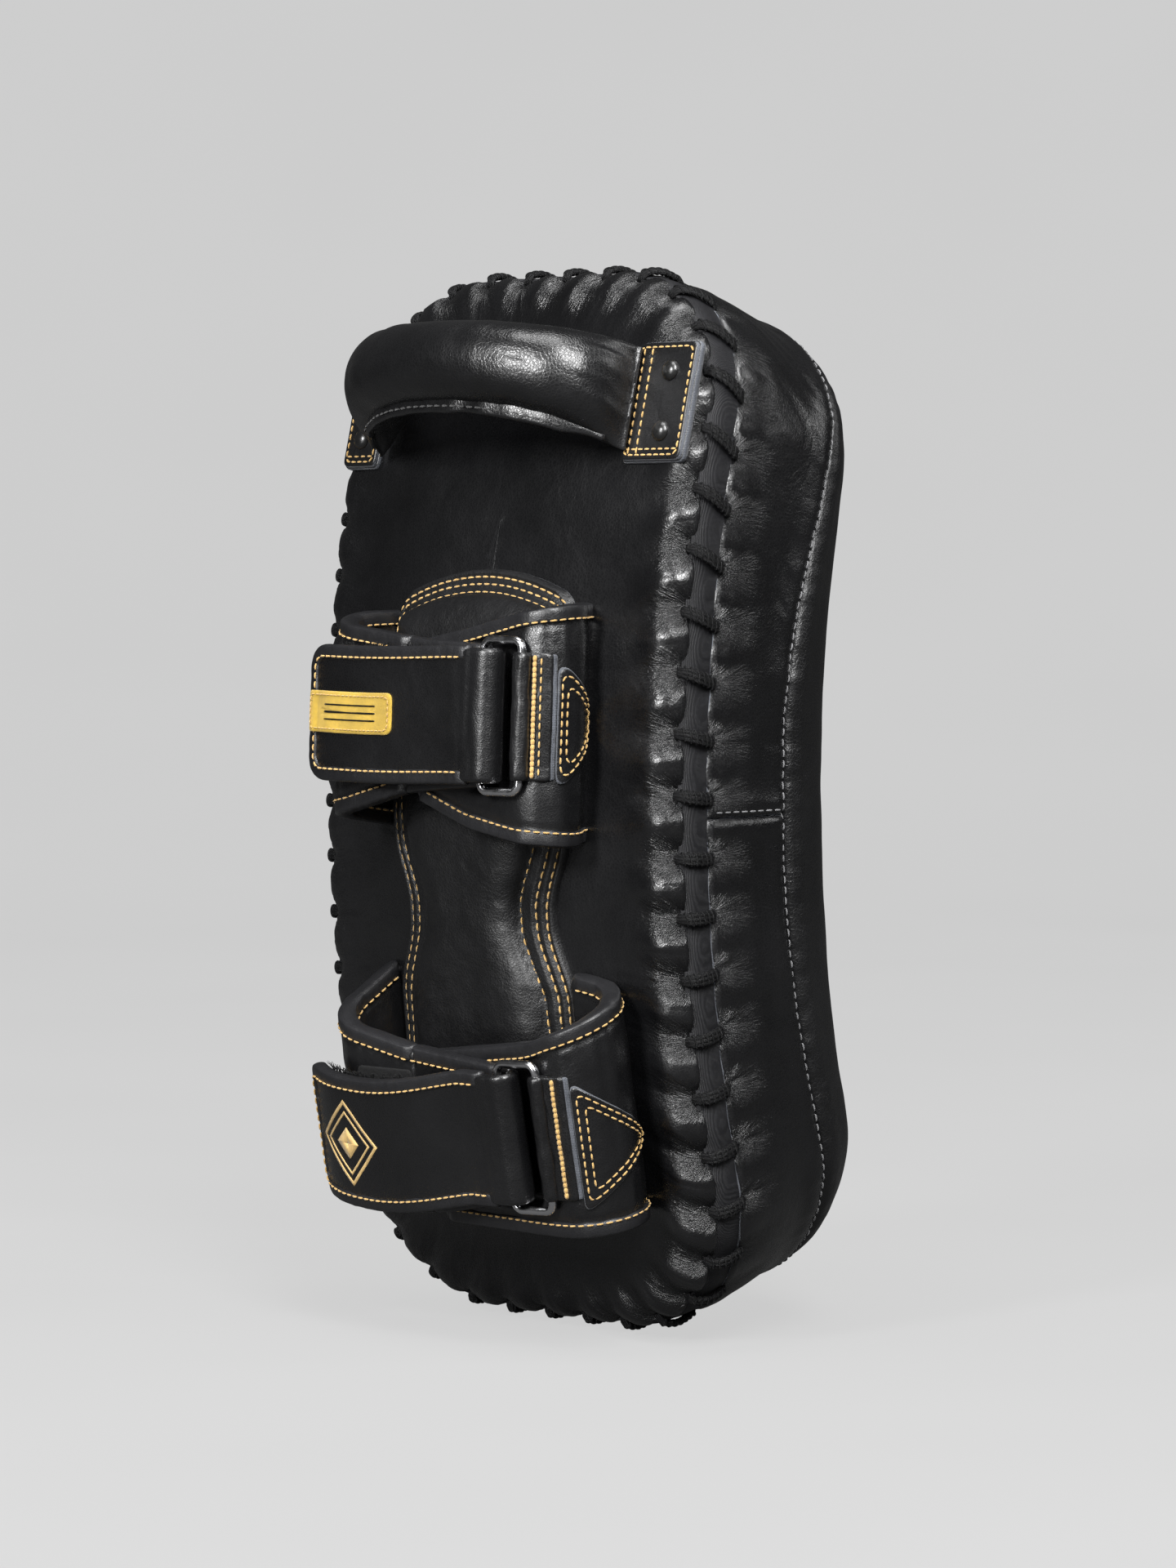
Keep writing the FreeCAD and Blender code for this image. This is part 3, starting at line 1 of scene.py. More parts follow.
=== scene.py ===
# A curved leather strike pad, standing upright. X runs across it, Z up. The strike face
# looks towards +Y; the back, towards -Y, carries a forearm pad, a handle and an upper and
# a lower cuff. Each cuff has two wings, a wire ring and a strap folded about the ring.
# Shapes are worked out in millimetres and turned to metres when they are placed.
import math
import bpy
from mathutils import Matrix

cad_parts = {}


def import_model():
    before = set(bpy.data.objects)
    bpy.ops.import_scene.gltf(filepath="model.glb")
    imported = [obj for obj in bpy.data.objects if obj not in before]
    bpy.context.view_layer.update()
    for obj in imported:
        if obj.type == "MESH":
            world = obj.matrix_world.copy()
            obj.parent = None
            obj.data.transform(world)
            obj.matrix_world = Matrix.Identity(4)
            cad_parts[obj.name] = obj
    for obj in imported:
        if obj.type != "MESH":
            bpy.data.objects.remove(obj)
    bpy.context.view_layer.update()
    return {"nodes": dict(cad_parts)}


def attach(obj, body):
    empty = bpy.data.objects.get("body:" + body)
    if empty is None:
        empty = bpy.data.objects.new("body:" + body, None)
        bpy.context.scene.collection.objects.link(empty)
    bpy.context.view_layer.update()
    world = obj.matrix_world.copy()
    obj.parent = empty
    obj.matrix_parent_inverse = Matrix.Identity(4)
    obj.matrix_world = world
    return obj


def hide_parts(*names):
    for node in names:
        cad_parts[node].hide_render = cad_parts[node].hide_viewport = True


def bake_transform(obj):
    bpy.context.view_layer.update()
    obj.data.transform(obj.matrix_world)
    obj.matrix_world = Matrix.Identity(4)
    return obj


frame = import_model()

from types import SimpleNamespace

import bmesh
import bpy
import numpy as np
from mathutils import Matrix, Vector

# ------------------------------------------------------------ main sizes (mm)
ARC_RADIUS = 645.0        # of the surface at depth 0, bent about the X direction
ARC_CENTRE_Z = 200.0
SHIFT_Y, SHIFT_Z = -27.2, 3.57
FRAME_OFF = 12.1          # origin of the cuff and handle frames, behind depth 0

HALF_WIDTH, HALF_LENGTH = 100.0, 203.3
CORNER_RADIUS = 63.0
FULL_INSET = 100.0        # inset at which the corner radius runs out
SIDE = 2 * (HALF_LENGTH - CORNER_RADIUS)
CORNER = math.pi / 2 * CORNER_RADIUS
END = 2 * (HALF_WIDTH - CORNER_RADIUS)
AROUND = 2 * SIDE + 2 * END + 4 * CORNER

# Cross section: back rounding, straight side, front rounding. "Run" is the distance
# along it, 0 where the back rounding meets the side, growing towards the strike face.
BACK_ROUND, FRONT_ROUND = 14.0, 40.0
SIDE_DEPTH, SIDE_RUN = 2.0, 48.0
BACK_DEPTH = SIDE_DEPTH - BACK_ROUND
BACK_END_RUN = -(BACK_ROUND * math.pi / 2) - 84.0
FRONT_END_RUN = SIDE_RUN + FRONT_ROUND * math.pi / 2 + 58.0
TAPE_BACK, TAPE_FRONT = -7.2, 3.9     # runs of the two leather edges beside the tape
SEAM_RUN = 45.0                       # seam between gusset and strike panel
FLARE_END_RUN = 118.0                 # where the strike panel stops following the flare
JOINT_ALONG = -4.5                    # height of the joint between the gussets
PANEL_THICKNESS = 1.8
PANEL_COLUMNS = 1000

LOOPS = 50                            # lacing loops round the pad
PITCH = AROUND / LOOPS

SMALL_STITCH = dict(pitch=3.3, length=2.5, width=0.8)
EDGE_STITCH = dict(pitch=3.6, length=2.6, width=0.8)
TAIL_STITCH = dict(pitch=3.4, length=2.5, width=0.85)
PAD_STITCH = dict(pitch=4.0, length=3.0, width=0.85, lift=0.2)


# ------------------------------------------------------------ frames
def floats(*values):
    return np.broadcast_arrays(*[np.asarray(value, float) for value in values])


def coords(x, y=0.0, z=0.0):
    return np.stack(floats(x, y, z), -1)


def pad_point(x, along, depth):
    """Across, up along the arc, and depth towards the strike face, to metres."""
    x, along, depth = floats(x, along, depth)
    angle = along / ARC_RADIUS
    radius = ARC_RADIUS - depth
    return np.stack([x, ARC_RADIUS - radius * np.cos(angle) + SHIFT_Y,
                     ARC_CENTRE_Z + radius * np.sin(angle) + SHIFT_Z], -1) * 0.001


def tilted_point(tilt, x, off, z):
    """The frame of a cuff or the handle: across, off the back, up; to metres."""
    x, off, z = floats(x, off, z)
    angle = math.radians(tilt)
    cos, sin = math.cos(angle), math.sin(angle)
    radius = ARC_RADIUS + FRAME_OFF
    y0 = ARC_RADIUS - radius * cos + SHIFT_Y
    z0 = ARC_CENTRE_Z + radius * sin + SHIFT_Z
    return np.stack([x, y0 - off * cos + z * sin, z0 + off * sin + z * cos], -1) * 0.001


# ------------------------------------------------------------ noise and curves
def lattice(cell, seed):
    """Repeatable value in -1..1 for each whole-number lattice point."""
    bits = (cell[..., 0] * 374761393 + cell[..., 1] * 668265263
            + cell[..., 2] * 2147483647 + seed * 1274126177)
    bits = (bits ^ (bits >> 13)) * 1274126177
    bits = bits & 0x7fffffff
    bits = (bits ^ (bits >> 16)) & 0xffff
    return bits / 65535.0 * 2 - 1


def noise(points, seed):
    points = np.asarray(points, float)
    cell = np.floor(points).astype(np.int64)
    part = points - cell
    part = part * part * part * (part * (part * 6 - 15) + 10)
    total = 0
    for corner in np.ndindex(2, 2, 2):
        x, y, z = [part[..., k] if corner[k] else 1 - part[..., k] for k in range(3)]
        total = total + x * y * z * lattice(cell + np.array(corner), seed)
    return total


def layered_noise(points, seed, octaves):
    total, weight = 0, 1.0
    for k in range(octaves):
        total = total + weight * noise(np.asarray(points) * 2 ** k, seed + k * 17)
        weight *= 0.5
    return total / 1.75


def ease(low, high, x):
    part = np.clip((np.asarray(x, float) - low) / (high - low), 0, 1)
    return part * part * (3 - 2 * part)


def unit(x):
    return np.clip(x, 0, 1)


def bell(x, centre, width):
    return np.exp(-((x - centre) / width) ** 2)


def dome(inset, width):
    """Rises from 0 at the edge to 1 at the given inset."""
    return unit(1 - (1 - unit(inset / width)) ** 2)


def const(value):
    return lambda dist: value + 0 * np.asarray(dist, float)


def blur(values, reach, taps):
    kernel = np.exp(-np.linspace(-reach, reach, taps) ** 2)
    kernel /= kernel.sum()
    return np.convolve(np.pad(values, taps // 2, mode="edge"), kernel, mode="valid")


def smooth_keys(places, values):
    """Function that passes softly through the key values."""
    grid = np.linspace(places[0] - 20, places[-1] + 20, 400)
    smoothed = blur(np.interp(grid, places, values), 2.2, 61)
    return lambda dist: np.interp(np.asarray(dist, float), grid, smoothed)


def lengths_along(points):
    steps = np.linalg.norm(np.diff(points, axis=0), axis=1)
    return np.concatenate([[0], np.cumsum(steps)])


def sample(where, lengths, rows):
    return np.stack([np.interp(where, lengths, column) for column in np.asarray(rows).T], -1)


def normalised(vectors):
    return vectors / (np.linalg.norm(vectors, axis=-1, keepdims=True) + 1e-12)


# ------------------------------------------------------------ meshes
def mesh_object(name, points, faces, materials, face_materials=None, outward=True):
    mesh = bpy.data.meshes.new(name)
    mesh.from_pydata([tuple(point) for point in np.asarray(points).reshape(-1, 3)], [],
                     [tuple(int(i) for i in face) for face in faces])
    mesh.validate()
    for material in (materials if isinstance(materials, (list, tuple)) else [materials]):
        mesh.materials.append(material)
    if face_materials is not None:
        mesh.polygons.foreach_set("material_index", np.asarray(face_materials, np.int32))
    mesh.polygons.foreach_set("use_smooth", np.ones(len(mesh.polygons), bool))
    mesh.update()
    ob = bpy.data.objects.new(name, mesh)
    bpy.context.scene.collection.objects.link(ob)
    if outward:
        work = bmesh.new()
        work.from_mesh(mesh)
        bmesh.ops.recalc_face_normals(work, faces=work.faces)
        work.to_mesh(mesh)
        work.free()
    return ob


def register(ob, slot, *hides, ride="pad"):
    """Tell the frame what the object moves with and which parts it hides; slot is not used."""
    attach(ob, ride)
    if hides:
        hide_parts(*hides)


def grid_faces(columns, rows, close_columns=False, close_rows=False, offset=0, flip=False):
    i, j = np.meshgrid(np.arange(columns if close_columns else columns - 1),
                       np.arange(rows if close_rows else rows - 1), indexing="ij")
    i2, j2 = (i + 1) % columns, (j + 1) % rows
    faces = np.stack([i * rows + j, i2 * rows + j, i2 * rows + j2, i * rows + j2], -1)
    faces = faces.reshape(-1, 4) + offset
    return faces[:, ::-1] if flip else faces


def double_grid(columns, rows, closed=False):
    """Outer grid faces, then the flipped faces of the inner grid that follows it."""
    return [*grid_faces(columns, rows, close_columns=closed),
            *grid_faces(columns, rows, close_columns=closed, offset=columns * rows, flip=True)]


def wall(loop, drop, closed=True):
    """Faces from a line of points to the same line, drop indices further on."""
    pairs = list(zip(loop, list(loop[1:]) + [loop[0]]))
    return [(a, b, b + drop, a + drop) for a, b in (pairs if closed else pairs[:-1])]


def barrel_faces(count, sides):
    return [*grid_faces(count, sides, close_rows=True), tuple(range(sides)),
            tuple(range((count - 1) * sides, count * sides))]


def tube(points, radius, sides, normals=None, squash=1.0):
    """Capped tube swept along points; sizes in metres."""
    points = np.asarray(points, float)
    count = len(points)
    tangents = normalised(np.gradient(points, axis=0))
    if normals is None:
        steep = abs(tangents[:, 2]).max() >= 0.9
        start = np.array([0.3, 1.0, 0.1]) if steep else np.array([0, 0, 1.0])
        carried = start - tangents[0] * (start @ tangents[0])
        carried /= np.linalg.norm(carried)
        normals = np.zeros_like(points)
        for k in range(count):
            carried = normalised(carried - tangents[k] * (carried @ tangents[k]))
            normals[k] = carried
    else:
        normals = np.asarray(normals, float)
        across = np.sum(normals * tangents, 1, keepdims=True)
        normals = normalised(normals - tangents * across)
    sideways = np.cross(tangents, normals)
    radius = np.broadcast_to(np.asarray(radius, float), (count,))[:, None, None]
    angle = (np.arange(sides) / sides * 2 * math.pi)[None, :, None]
    rings = points[:, None] + radius * (np.cos(angle) * normals[:, None] * squash
                                        + np.sin(angle) * sideways[:, None])
    faces = [*grid_faces(count, sides, close_rows=True), tuple(range(sides)),
             tuple(range((count - 1) * sides, count * sides))[::-1]]
    return rings.reshape(-1, 3), faces


class Bag:
    """Collects many small pieces into one mesh."""

    def __init__(self):
        self.points, self.faces, self.count = [], [], 0

    def add(self, points, faces):
        points = np.asarray(points).reshape(-1, 3)
        self.points.append(points)
        self.faces += [tuple(int(i) + self.count for i in face) for face in faces]
        self.count += len(points)

    def build(self, name, material):
        return mesh_object(name, np.concatenate(self.points), self.faces, material)


# A surface is a function (first, second, height) giving points in metres.
def surface_normal(surface, first, second, height, face=1.0, steps=(0.2, 0.2)):
    step1, step2 = steps
    one = surface(first + step1, second, height) - surface(first - step1, second, height)
    two = surface(first, second + step2, height) - surface(first, second - step2, height)
    normal = normalised(np.cross(one, two))
    out = surface(first, second, height + face) - surface(first, second, height)
    return normal * np.sign(np.sum(normal * out, -1, keepdims=True))


# One stitch: place along its length, thickness, height (as parts of the full sizes)
STITCH_PROFILE = [(-0.5, 0.30, -0.55), (-0.40, 0.80, 0.0), (-0.15, 1.0, 0.32),
                  (0.15, 1.0, 0.32), (0.40, 0.80, 0.0), (0.5, 0.30, -0.55)]


def stitch_row(bag, points, normals, pitch, length, width, high=0.45, lift=0.15):
    """Thread stitches along a line of points in metres; stitch sizes in mm."""
    run = lengths_along(points) * 1000
    count = int(run[-1] // pitch)
    pitch = run[-1] / count
    for k in range(count):
        line, ups = [], []
        for part, _, rise in STITCH_PROFILE:
            where = (k + 0.5) * pitch + part * length
            up = normalised(sample(where, run, normals))
            line.append(sample(where, run, points) + up * (lift + rise * high) * 0.001)
            ups.append(up)
        radii = np.array([thick * width * 0.0005 for _, thick, _ in STITCH_PROFILE])
        bag.add(*tube(line, radii, 6, normals=ups, squash=0.8))


def stitch_on(bag, surface, first, second, height, face=1.0, steps=(0.2, 0.2), **style):
    normals = surface_normal(surface, first, second, height, face, steps)
    stitch_row(bag, surface(first, second, height), normals, **style)


def stitch_line(bag, surface, line, height, **style):
    """Stitches along a polyline on a surface; height is a number or a function."""
    line = np.asarray(line, float)
    lengths = lengths_along(line)
    count = max(2, int(round(lengths[-1] / 1.2)) + 1)
    first, second = sample(np.linspace(0, lengths[-1], count), lengths, line).T
    height = height(first, second) if callable(height) else np.full(count, float(height))
    stitch_on(bag, surface, first, second, height, **style)


# ------------------------------------------------------------ materials
class Nodes:
    """Adds shader nodes to a tree. An input given a socket is linked, else it is set."""

    def __init__(self, tree):
        self.tree = tree

    def feed(self, target, value):
        if isinstance(value, bpy.types.NodeSocket):
            self.tree.links.new(value, target)
        else:
            target.default_value = value

    def add(self, kind, *inputs, **settings):
        new = self.tree.nodes.new("ShaderNode" + kind)
        for key, value in settings.items():
            if key in new.inputs:
                self.feed(new.inputs[key], value)
            else:
                setattr(new, key, value)
        for k, value in enumerate(inputs):
            self.feed(new.inputs[k], value)
        return new

    def maths(self, operation, *values):
        return self.add("Math", *values, operation=operation).outputs[0]

    def remap(self, value, from_min, from_max, to_min, to_max):
        return self.add("MapRange", value, from_min, from_max, to_min, to_max).outputs[0]

    def ramp(self, value, stops):
        ramp = self.add("ValToRGB", value)
        elements = ramp.color_ramp.elements
        while len(elements) < len(stops):
            elements.new(0.5)
        for element, (position, colour) in zip(elements, stops):
            element.position = position
            element.color = tuple(colour) + (1,)
        return ramp.outputs[0]


class Shader(Nodes):
    """A material with one principled surface, textured in object coordinates."""

    def __init__(self, name):
        self.material = bpy.data.materials.new(name)
        self.material.use_nodes = True
        super().__init__(self.material.node_tree)
        self.tree.nodes.clear()
        output = self.add("OutputMaterial")
        self.surface = self.add("BsdfPrincipled")
        self.feed(output.inputs[0], self.surface.outputs[0])
        self.place = self.add("TexCoord").outputs["Object"]

    def noise(self, scale, detail, vector=None, output="Fac", **settings):
        texture = self.add("TexNoise", Vector=vector or self.place, Scale=scale,
                           Detail=detail, **settings)
        return texture.outputs[output]

    def wave(self, vector, scale, distortion, detail, direction):
        return self.add("TexWave", Vector=vector, Scale=scale, Distortion=distortion,
                        Detail=detail, bands_direction=direction).outputs["Fac"]

    def bump(self, height, strength, distance, **normal):
        return self.add("Bump", Strength=strength, Distance=distance, Height=height,
                        **normal).outputs[0]

    def finish(self, inputs):
        for key, value in inputs.items():
            self.feed(self.surface.inputs[key], value)
        return self.material


def scaled(colour, factor):
    return tuple(min(1, channel * factor) for channel in colour)


def lacing_folds(shader, normal, strength):
    """Folds that fan out from each lacing hole, read from the "lace" attribute."""
    maths = shader.maths
    attribute = shader.add("Attribute", attribute_name="lace")
    sideways, away, from_hole = shader.add("SeparateXYZ", attribute.outputs["Vector"]).outputs
    angle = maths("ARCTAN2", sideways, maths("ADD", away, 1.6))
    x, _, z = shader.add("SeparateXYZ", shader.place).outputs
    fan = shader.add("CombineXYZ", maths("MULTIPLY", angle, 6.5),
                     maths("MULTIPLY", maths("ADD", z, x), 55.0),
                     maths("MULTIPLY", away, 0.07)).outputs[0]
    texture = shader.noise(1.6, 4.0, vector=fan, Roughness=0.62)
    ridge = maths("ABSOLUTE", maths("SUBTRACT", texture, 0.5))
    fade_away = shader.remap(away, 0.5, 24.0, 1.0, 0.0)
    fade_between = shader.remap(from_hole, 5.5, 9.6, 1.0, 0.0)
    fade_edge = shader.remap(away, -0.2, 0.6, 0.0, 1.0)
    height = maths("MULTIPLY", maths("MULTIPLY", ridge, fade_away),
                   maths("MULTIPLY", fade_between, fade_edge))
    return shader.bump(height, strength, 0.0042, Normal=normal)


def leather(name, base, roughness, grain, grain_bump, crease, coat, wear=0.5, lace=0.0):
    """grain is the cell scale; grain_bump, crease and lace are bump strengths."""
    shader = Shader(name)
    # pebbled grain: two scales of cells with noise-broken edges
    warp = shader.noise(220.0, 3.0, output="Color")
    shift = shader.add("VectorMath", warp, operation="SCALE", Scale=0.0016).outputs[0]
    warped = shader.add("VectorMath", shader.place, shift, operation="ADD").outputs[0]
    edges = shader.add("TexVoronoi", Vector=warped, Scale=grain, feature="DISTANCE_TO_EDGE")
    cells = shader.add("TexVoronoi", Vector=warped, Scale=grain * 0.42, feature="F1")
    pebbles = shader.remap(edges.outputs["Distance"], 0.0, 0.22, 0.0, 1.0)
    # soft folds under the grain
    folds = shader.noise(38.0, 5.0, Roughness=0.62, Distortion=0.8)
    wrinkles = shader.noise(150.0, 4.0, Roughness=0.6, Distortion=1.6)
    normal = shader.bump(folds, crease, 0.0022)
    if lace > 0:
        normal = lacing_folds(shader, normal, lace)
    soft = shader.bump(wrinkles, crease * 0.7, 0.0006, Normal=normal)
    normal = shader.bump(pebbles, grain_bump, 0.00022, Normal=soft)
    normal = shader.bump(cells.outputs["Distance"], grain_bump * 0.6, 0.0003, Normal=normal)
    normal = shader.bump(shader.noise(2600.0, 2.0), grain_bump * 0.4, 0.0001, Normal=normal)
    # colour: patchy black, greyer where rubbed on ridges
    patches = shader.noise(17.0, 6.0, Roughness=0.65)
    colour = shader.ramp(patches, [(0.3, scaled(base, 0.72)), (0.7, scaled(base, 1.5))])
    pointiness = shader.add("NewGeometry").outputs["Pointiness"]
    worn = shader.maths("MULTIPLY", shader.remap(pointiness, 0.52, 0.62, 0.0, wear),
                        shader.noise(420.0, 3.0))
    rubbed = (base[0] * 4 + 0.008, base[1] * 4 + 0.008, base[2] * 4 + 0.0085, 1)
    colour = shader.add("MixRGB", worn, colour, rubbed, blend_type="MIX").outputs[0]
    rough = shader.maths(
        "ADD", shader.remap(patches, 0.3, 0.7, roughness - 0.07, roughness + 0.08),
        shader.remap(pebbles, 0.0, 1.0, 0.10, 0.0))
    return shader.finish({
        "Base Color": colour, "Roughness": rough, "Normal": normal,
        "Specular IOR Level": 0.5, "Coat Weight": coat, "Coat Roughness": 0.34,
        "Coat Normal": soft})


def thread(name, base, dark):
    shader = Shader(name)
    twist = shader.wave(shader.place, 1500.0, 2.0, 2.0, "DIAGONAL")
    shade = shader.maths("MULTIPLY", twist, shader.noise(160.0, 3.0))
    colour = shader.ramp(shade, [(0.05, dark), (0.45, base), (0.9, scaled(base, 1.3))])
    return shader.finish({"Base Color": colour, "Normal": shader.bump(twist, 0.6, 0.0002),
                          "Roughness": 0.55, "Sheen Weight": 0.3})


def fabric(name, base, roughness, scale, bump, contrast=0.5, sheen=0.2):
    """scale is that of the weave; contrast is how far it shows in the colour."""
    shader = Shader(name)
    mapped = shader.add("Mapping", Vector=shader.place).outputs[0]
    weave = shader.maths("MULTIPLY", shader.wave(mapped, scale, 1.2, 1.0, "Z"),
                         shader.wave(mapped, scale, 1.2, 1.0, "X"))
    mottle = shader.noise(60.0, 6.0, Roughness=0.7)
    shade = shader.maths("ADD", shader.maths("MULTIPLY", weave, contrast), mottle)
    colour = shader.ramp(shade, [(0.3, scaled(base, 0.55)), (0.62, base),
                                 (1.0, scaled(base, 1.7))])
    return shader.finish({
        "Base Color": colour, "Normal": shader.bump(weave, bump, 0.0003),
        "Roughness": roughness, "Sheen Weight": sheen, "Specular IOR Level": 0.35})


def metal(name, base, roughness):
    shader = Shader(name)
    fine = shader.noise(300.0, 5.0, Roughness=0.7)
    colour = shader.ramp(shader.noise(45.0, 4.0), [(0.3, scaled(base, 0.8)), (0.7, base)])
    return shader.finish({
        "Base Color": colour, "Metallic": 1.0, "Normal": shader.bump(fine, 0.12, 0.0002),
        "Roughness": shader.remap(fine, 0.3, 0.7, roughness - 0.05, roughness + 0.12)})


BODY_LEATHER = leather("leather_body", base=(0.0036, 0.0036, 0.0040), roughness=0.235,
                       grain=780.0, grain_bump=0.17, crease=0.26, coat=0.36, lace=0.6)
STRIKE_LEATHER = leather("leather_strike", base=(0.0046, 0.0046, 0.0050), roughness=0.37,
                         grain=700.0, grain_bump=0.30, crease=0.38, coat=0.10)
PANEL_LEATHER = leather("leather_panel", base=(0.0038, 0.0038, 0.0042), roughness=0.40,
                        grain=820.0, grain_bump=0.26, crease=0.28, coat=0.10)
STRAP_LEATHER = leather("leather_strap", base=(0.0040, 0.0040, 0.0044), roughness=0.26,
                        grain=1050.0, grain_bump=0.17, crease=0.22, coat=0.30)
BINDING_LEATHER = leather("leather_binding", base=(0.0090, 0.0090, 0.0100), roughness=0.34,
                          grain=1100.0, grain_bump=0.18, crease=0.28, coat=0.15)
HANDLE_LEATHER = leather("leather_handle", base=(0.0042, 0.0042, 0.0046), roughness=0.25,
                         grain=760.0, grain_bump=0.22, crease=0.18, coat=0.30)
RAW_EDGE = fabric("raw_edge", (0.085, 0.092, 0.108), roughness=0.7, scale=700.0, bump=0.8)
GOLD_THREAD = thread("thread_gold", base=(0.78, 0.50, 0.17), dark=(0.42, 0.24, 0.06))
GREY_THREAD = thread("thread_grey", base=(0.24, 0.24, 0.25), dark=(0.07, 0.07, 0.07))
DARK_THREAD = thread("thread_dark", base=(0.05, 0.05, 0.05), dark=(0.01, 0.01, 0.01))
TAPE_CLOTH = fabric("tape_cloth", (0.012, 0.012, 0.0135), roughness=0.5, scale=900.0,
                    bump=0.6, sheen=0.0)
CORD = fabric("lacing_cord_mat", (0.0035, 0.0035, 0.004), roughness=0.45, scale=1200.0,
              bump=0.9, sheen=0.0)
WIRE = metal("wire_steel", base=(0.78, 0.78, 0.80), roughness=0.16)
RIVET = leather("rivet_black", base=(0.006, 0.006, 0.006), roughness=0.22, grain=400.0,
                grain_bump=0.012, crease=0.015, coat=0.5, wear=0.2)
PILE = fabric("hook_loop_pile", (0.007, 0.007, 0.0075), roughness=0.95, scale=2200.0,
              bump=1.0, sheen=0.02)
LABEL = fabric("label_yellow", (0.50, 0.325, 0.035), roughness=0.5, scale=1300.0,
               contrast=0.45, bump=0.5)
PRINT = fabric("gold_print", (0.60, 0.40, 0.15), roughness=0.38, scale=1900.0,
               contrast=0.25, bump=0.25)


# ------------------------------------------------------------ the pad's outline and skin
def outline(turn, inset):
    """Point and outward direction at turn 0..1 round the outline, set in by inset.
    It starts low on the +X side and goes up, over the top and back down."""
    run = np.asarray(turn, float) % 1.0 * AROUND
    inset = np.asarray(inset, float)
    run, wide, high, radius = np.broadcast_arrays(
        run, HALF_WIDTH - inset, HALF_LENGTH - inset,
        CORNER_RADIUS * (1 - inset / FULL_INSET))
    x, along, out_x, out_along = [np.zeros(run.shape) for _ in range(4)]
    starts = np.cumsum([0] + [SIDE, CORNER, END, CORNER] * 2)
    piece = np.clip(np.searchsorted(starts, run, side="right") - 1, 0, 7)
    for k in range(8):
        here = piece == k
        part = (run[here] - starts[k]) / (starts[k + 1] - starts[k])
        w, h, r = wide[here], high[here], radius[here]
        sign = 1 if k < 4 else -1
        if k in (0, 4):
            x[here] = sign * w
            along[here] = sign * (2 * (h - r) * part - (h - r))
            out_x[here] = sign
        elif k in (2, 6):
            x[here] = sign * ((w - r) - 2 * (w - r) * part)
            along[here] = sign * h
            out_along[here] = sign
        else:
            angle = (k - 1) / 4 * math.pi + part * math.pi / 2
            cos, sin = np.cos(angle), np.sin(angle)
            x[here] = (w - r) * (1 if k in (1, 7) else -1) + r * cos
            along[here] = (h - r) * sign + r * sin
            out_x[here], out_along[here] = cos, sin
    return x, along, out_x, out_along


def profile(run):
    """Inset, depth and the normal's outward and depthward parts along the section."""
    run = np.asarray(run, float)
    quarter = math.pi / 2
    back = np.clip(-run / BACK_ROUND, 0, quarter)
    front = np.clip((run - SIDE_RUN) / FRONT_ROUND, 0, quarter)
    inset = (BACK_ROUND * (1 - np.cos(back)) + np.maximum(-run - BACK_ROUND * quarter, 0)
             + FRONT_ROUND * (1 - np.cos(front))
             + np.maximum(run - SIDE_RUN - FRONT_ROUND * quarter, 0))
    depth = (SIDE_DEPTH + np.clip(run, 0, SIDE_RUN) - BACK_ROUND * np.sin(back)
             + FRONT_ROUND * np.sin(front))
    return inset, depth, np.cos(back) * np.cos(front), np.sin(front) - np.sin(back)


def slant(turn):
    """How far a lacing loop leans along the edge."""
    _, along, out_x, out_along = outline(turn, 0.0)
    return (-(2.0 + 7.5 * np.clip(along / 130.0, -0.6, 1.0)) * unit(out_x)
            - 2.5 * unit(out_along) + 2.0 * unit(-out_x))


def lace_phase(turn, side):
    """Whole numbers fall on lacing holes; side is 1 at the back edge, -1 at the gusset."""
    return (turn * LOOPS - 0.5) + side * slant(turn) / 2 / PITCH


def lace_wave(turn, side):
    """1 at the holes, 0 midway between them."""
    return 0.5 + 0.5 * np.cos(2 * math.pi * lace_phase(turn, side))


def flare(turn):
    """How far the strike seam drifts toward the strike face near each end."""
    along = outline(turn, 0.0)[1]
    return 14.0 * ease(30, 165, along) + 6.0 * ease(30, 165, -along)


def back_crown(inset, along):
    return 3.6 * ease(6, 75, inset) * (1 - 0.8 * ease(95, 150, np.abs(along)))


def hole_folds(phase, away, width, layers):
    """Folds radiating from the holes. Each layer: frequency round the hole, shift from
    hole to hole, row step, stretch, seed, height."""
    hole = np.round(phase)
    sideways = (phase - hole) * PITCH
    angle = np.arctan2(sideways, away + 1.5)
    total = 0
    for frequency, shift, row, stretch, seed, height in layers:
        place = coords(angle * frequency + hole * shift, hole * row, away * stretch)
        total = total + noise(place, seed) * height
    return (total * np.exp(-(away / 19.0) ** 1.5) * ease(0.5, 4, away)
            * bell(sideways, 0, width))


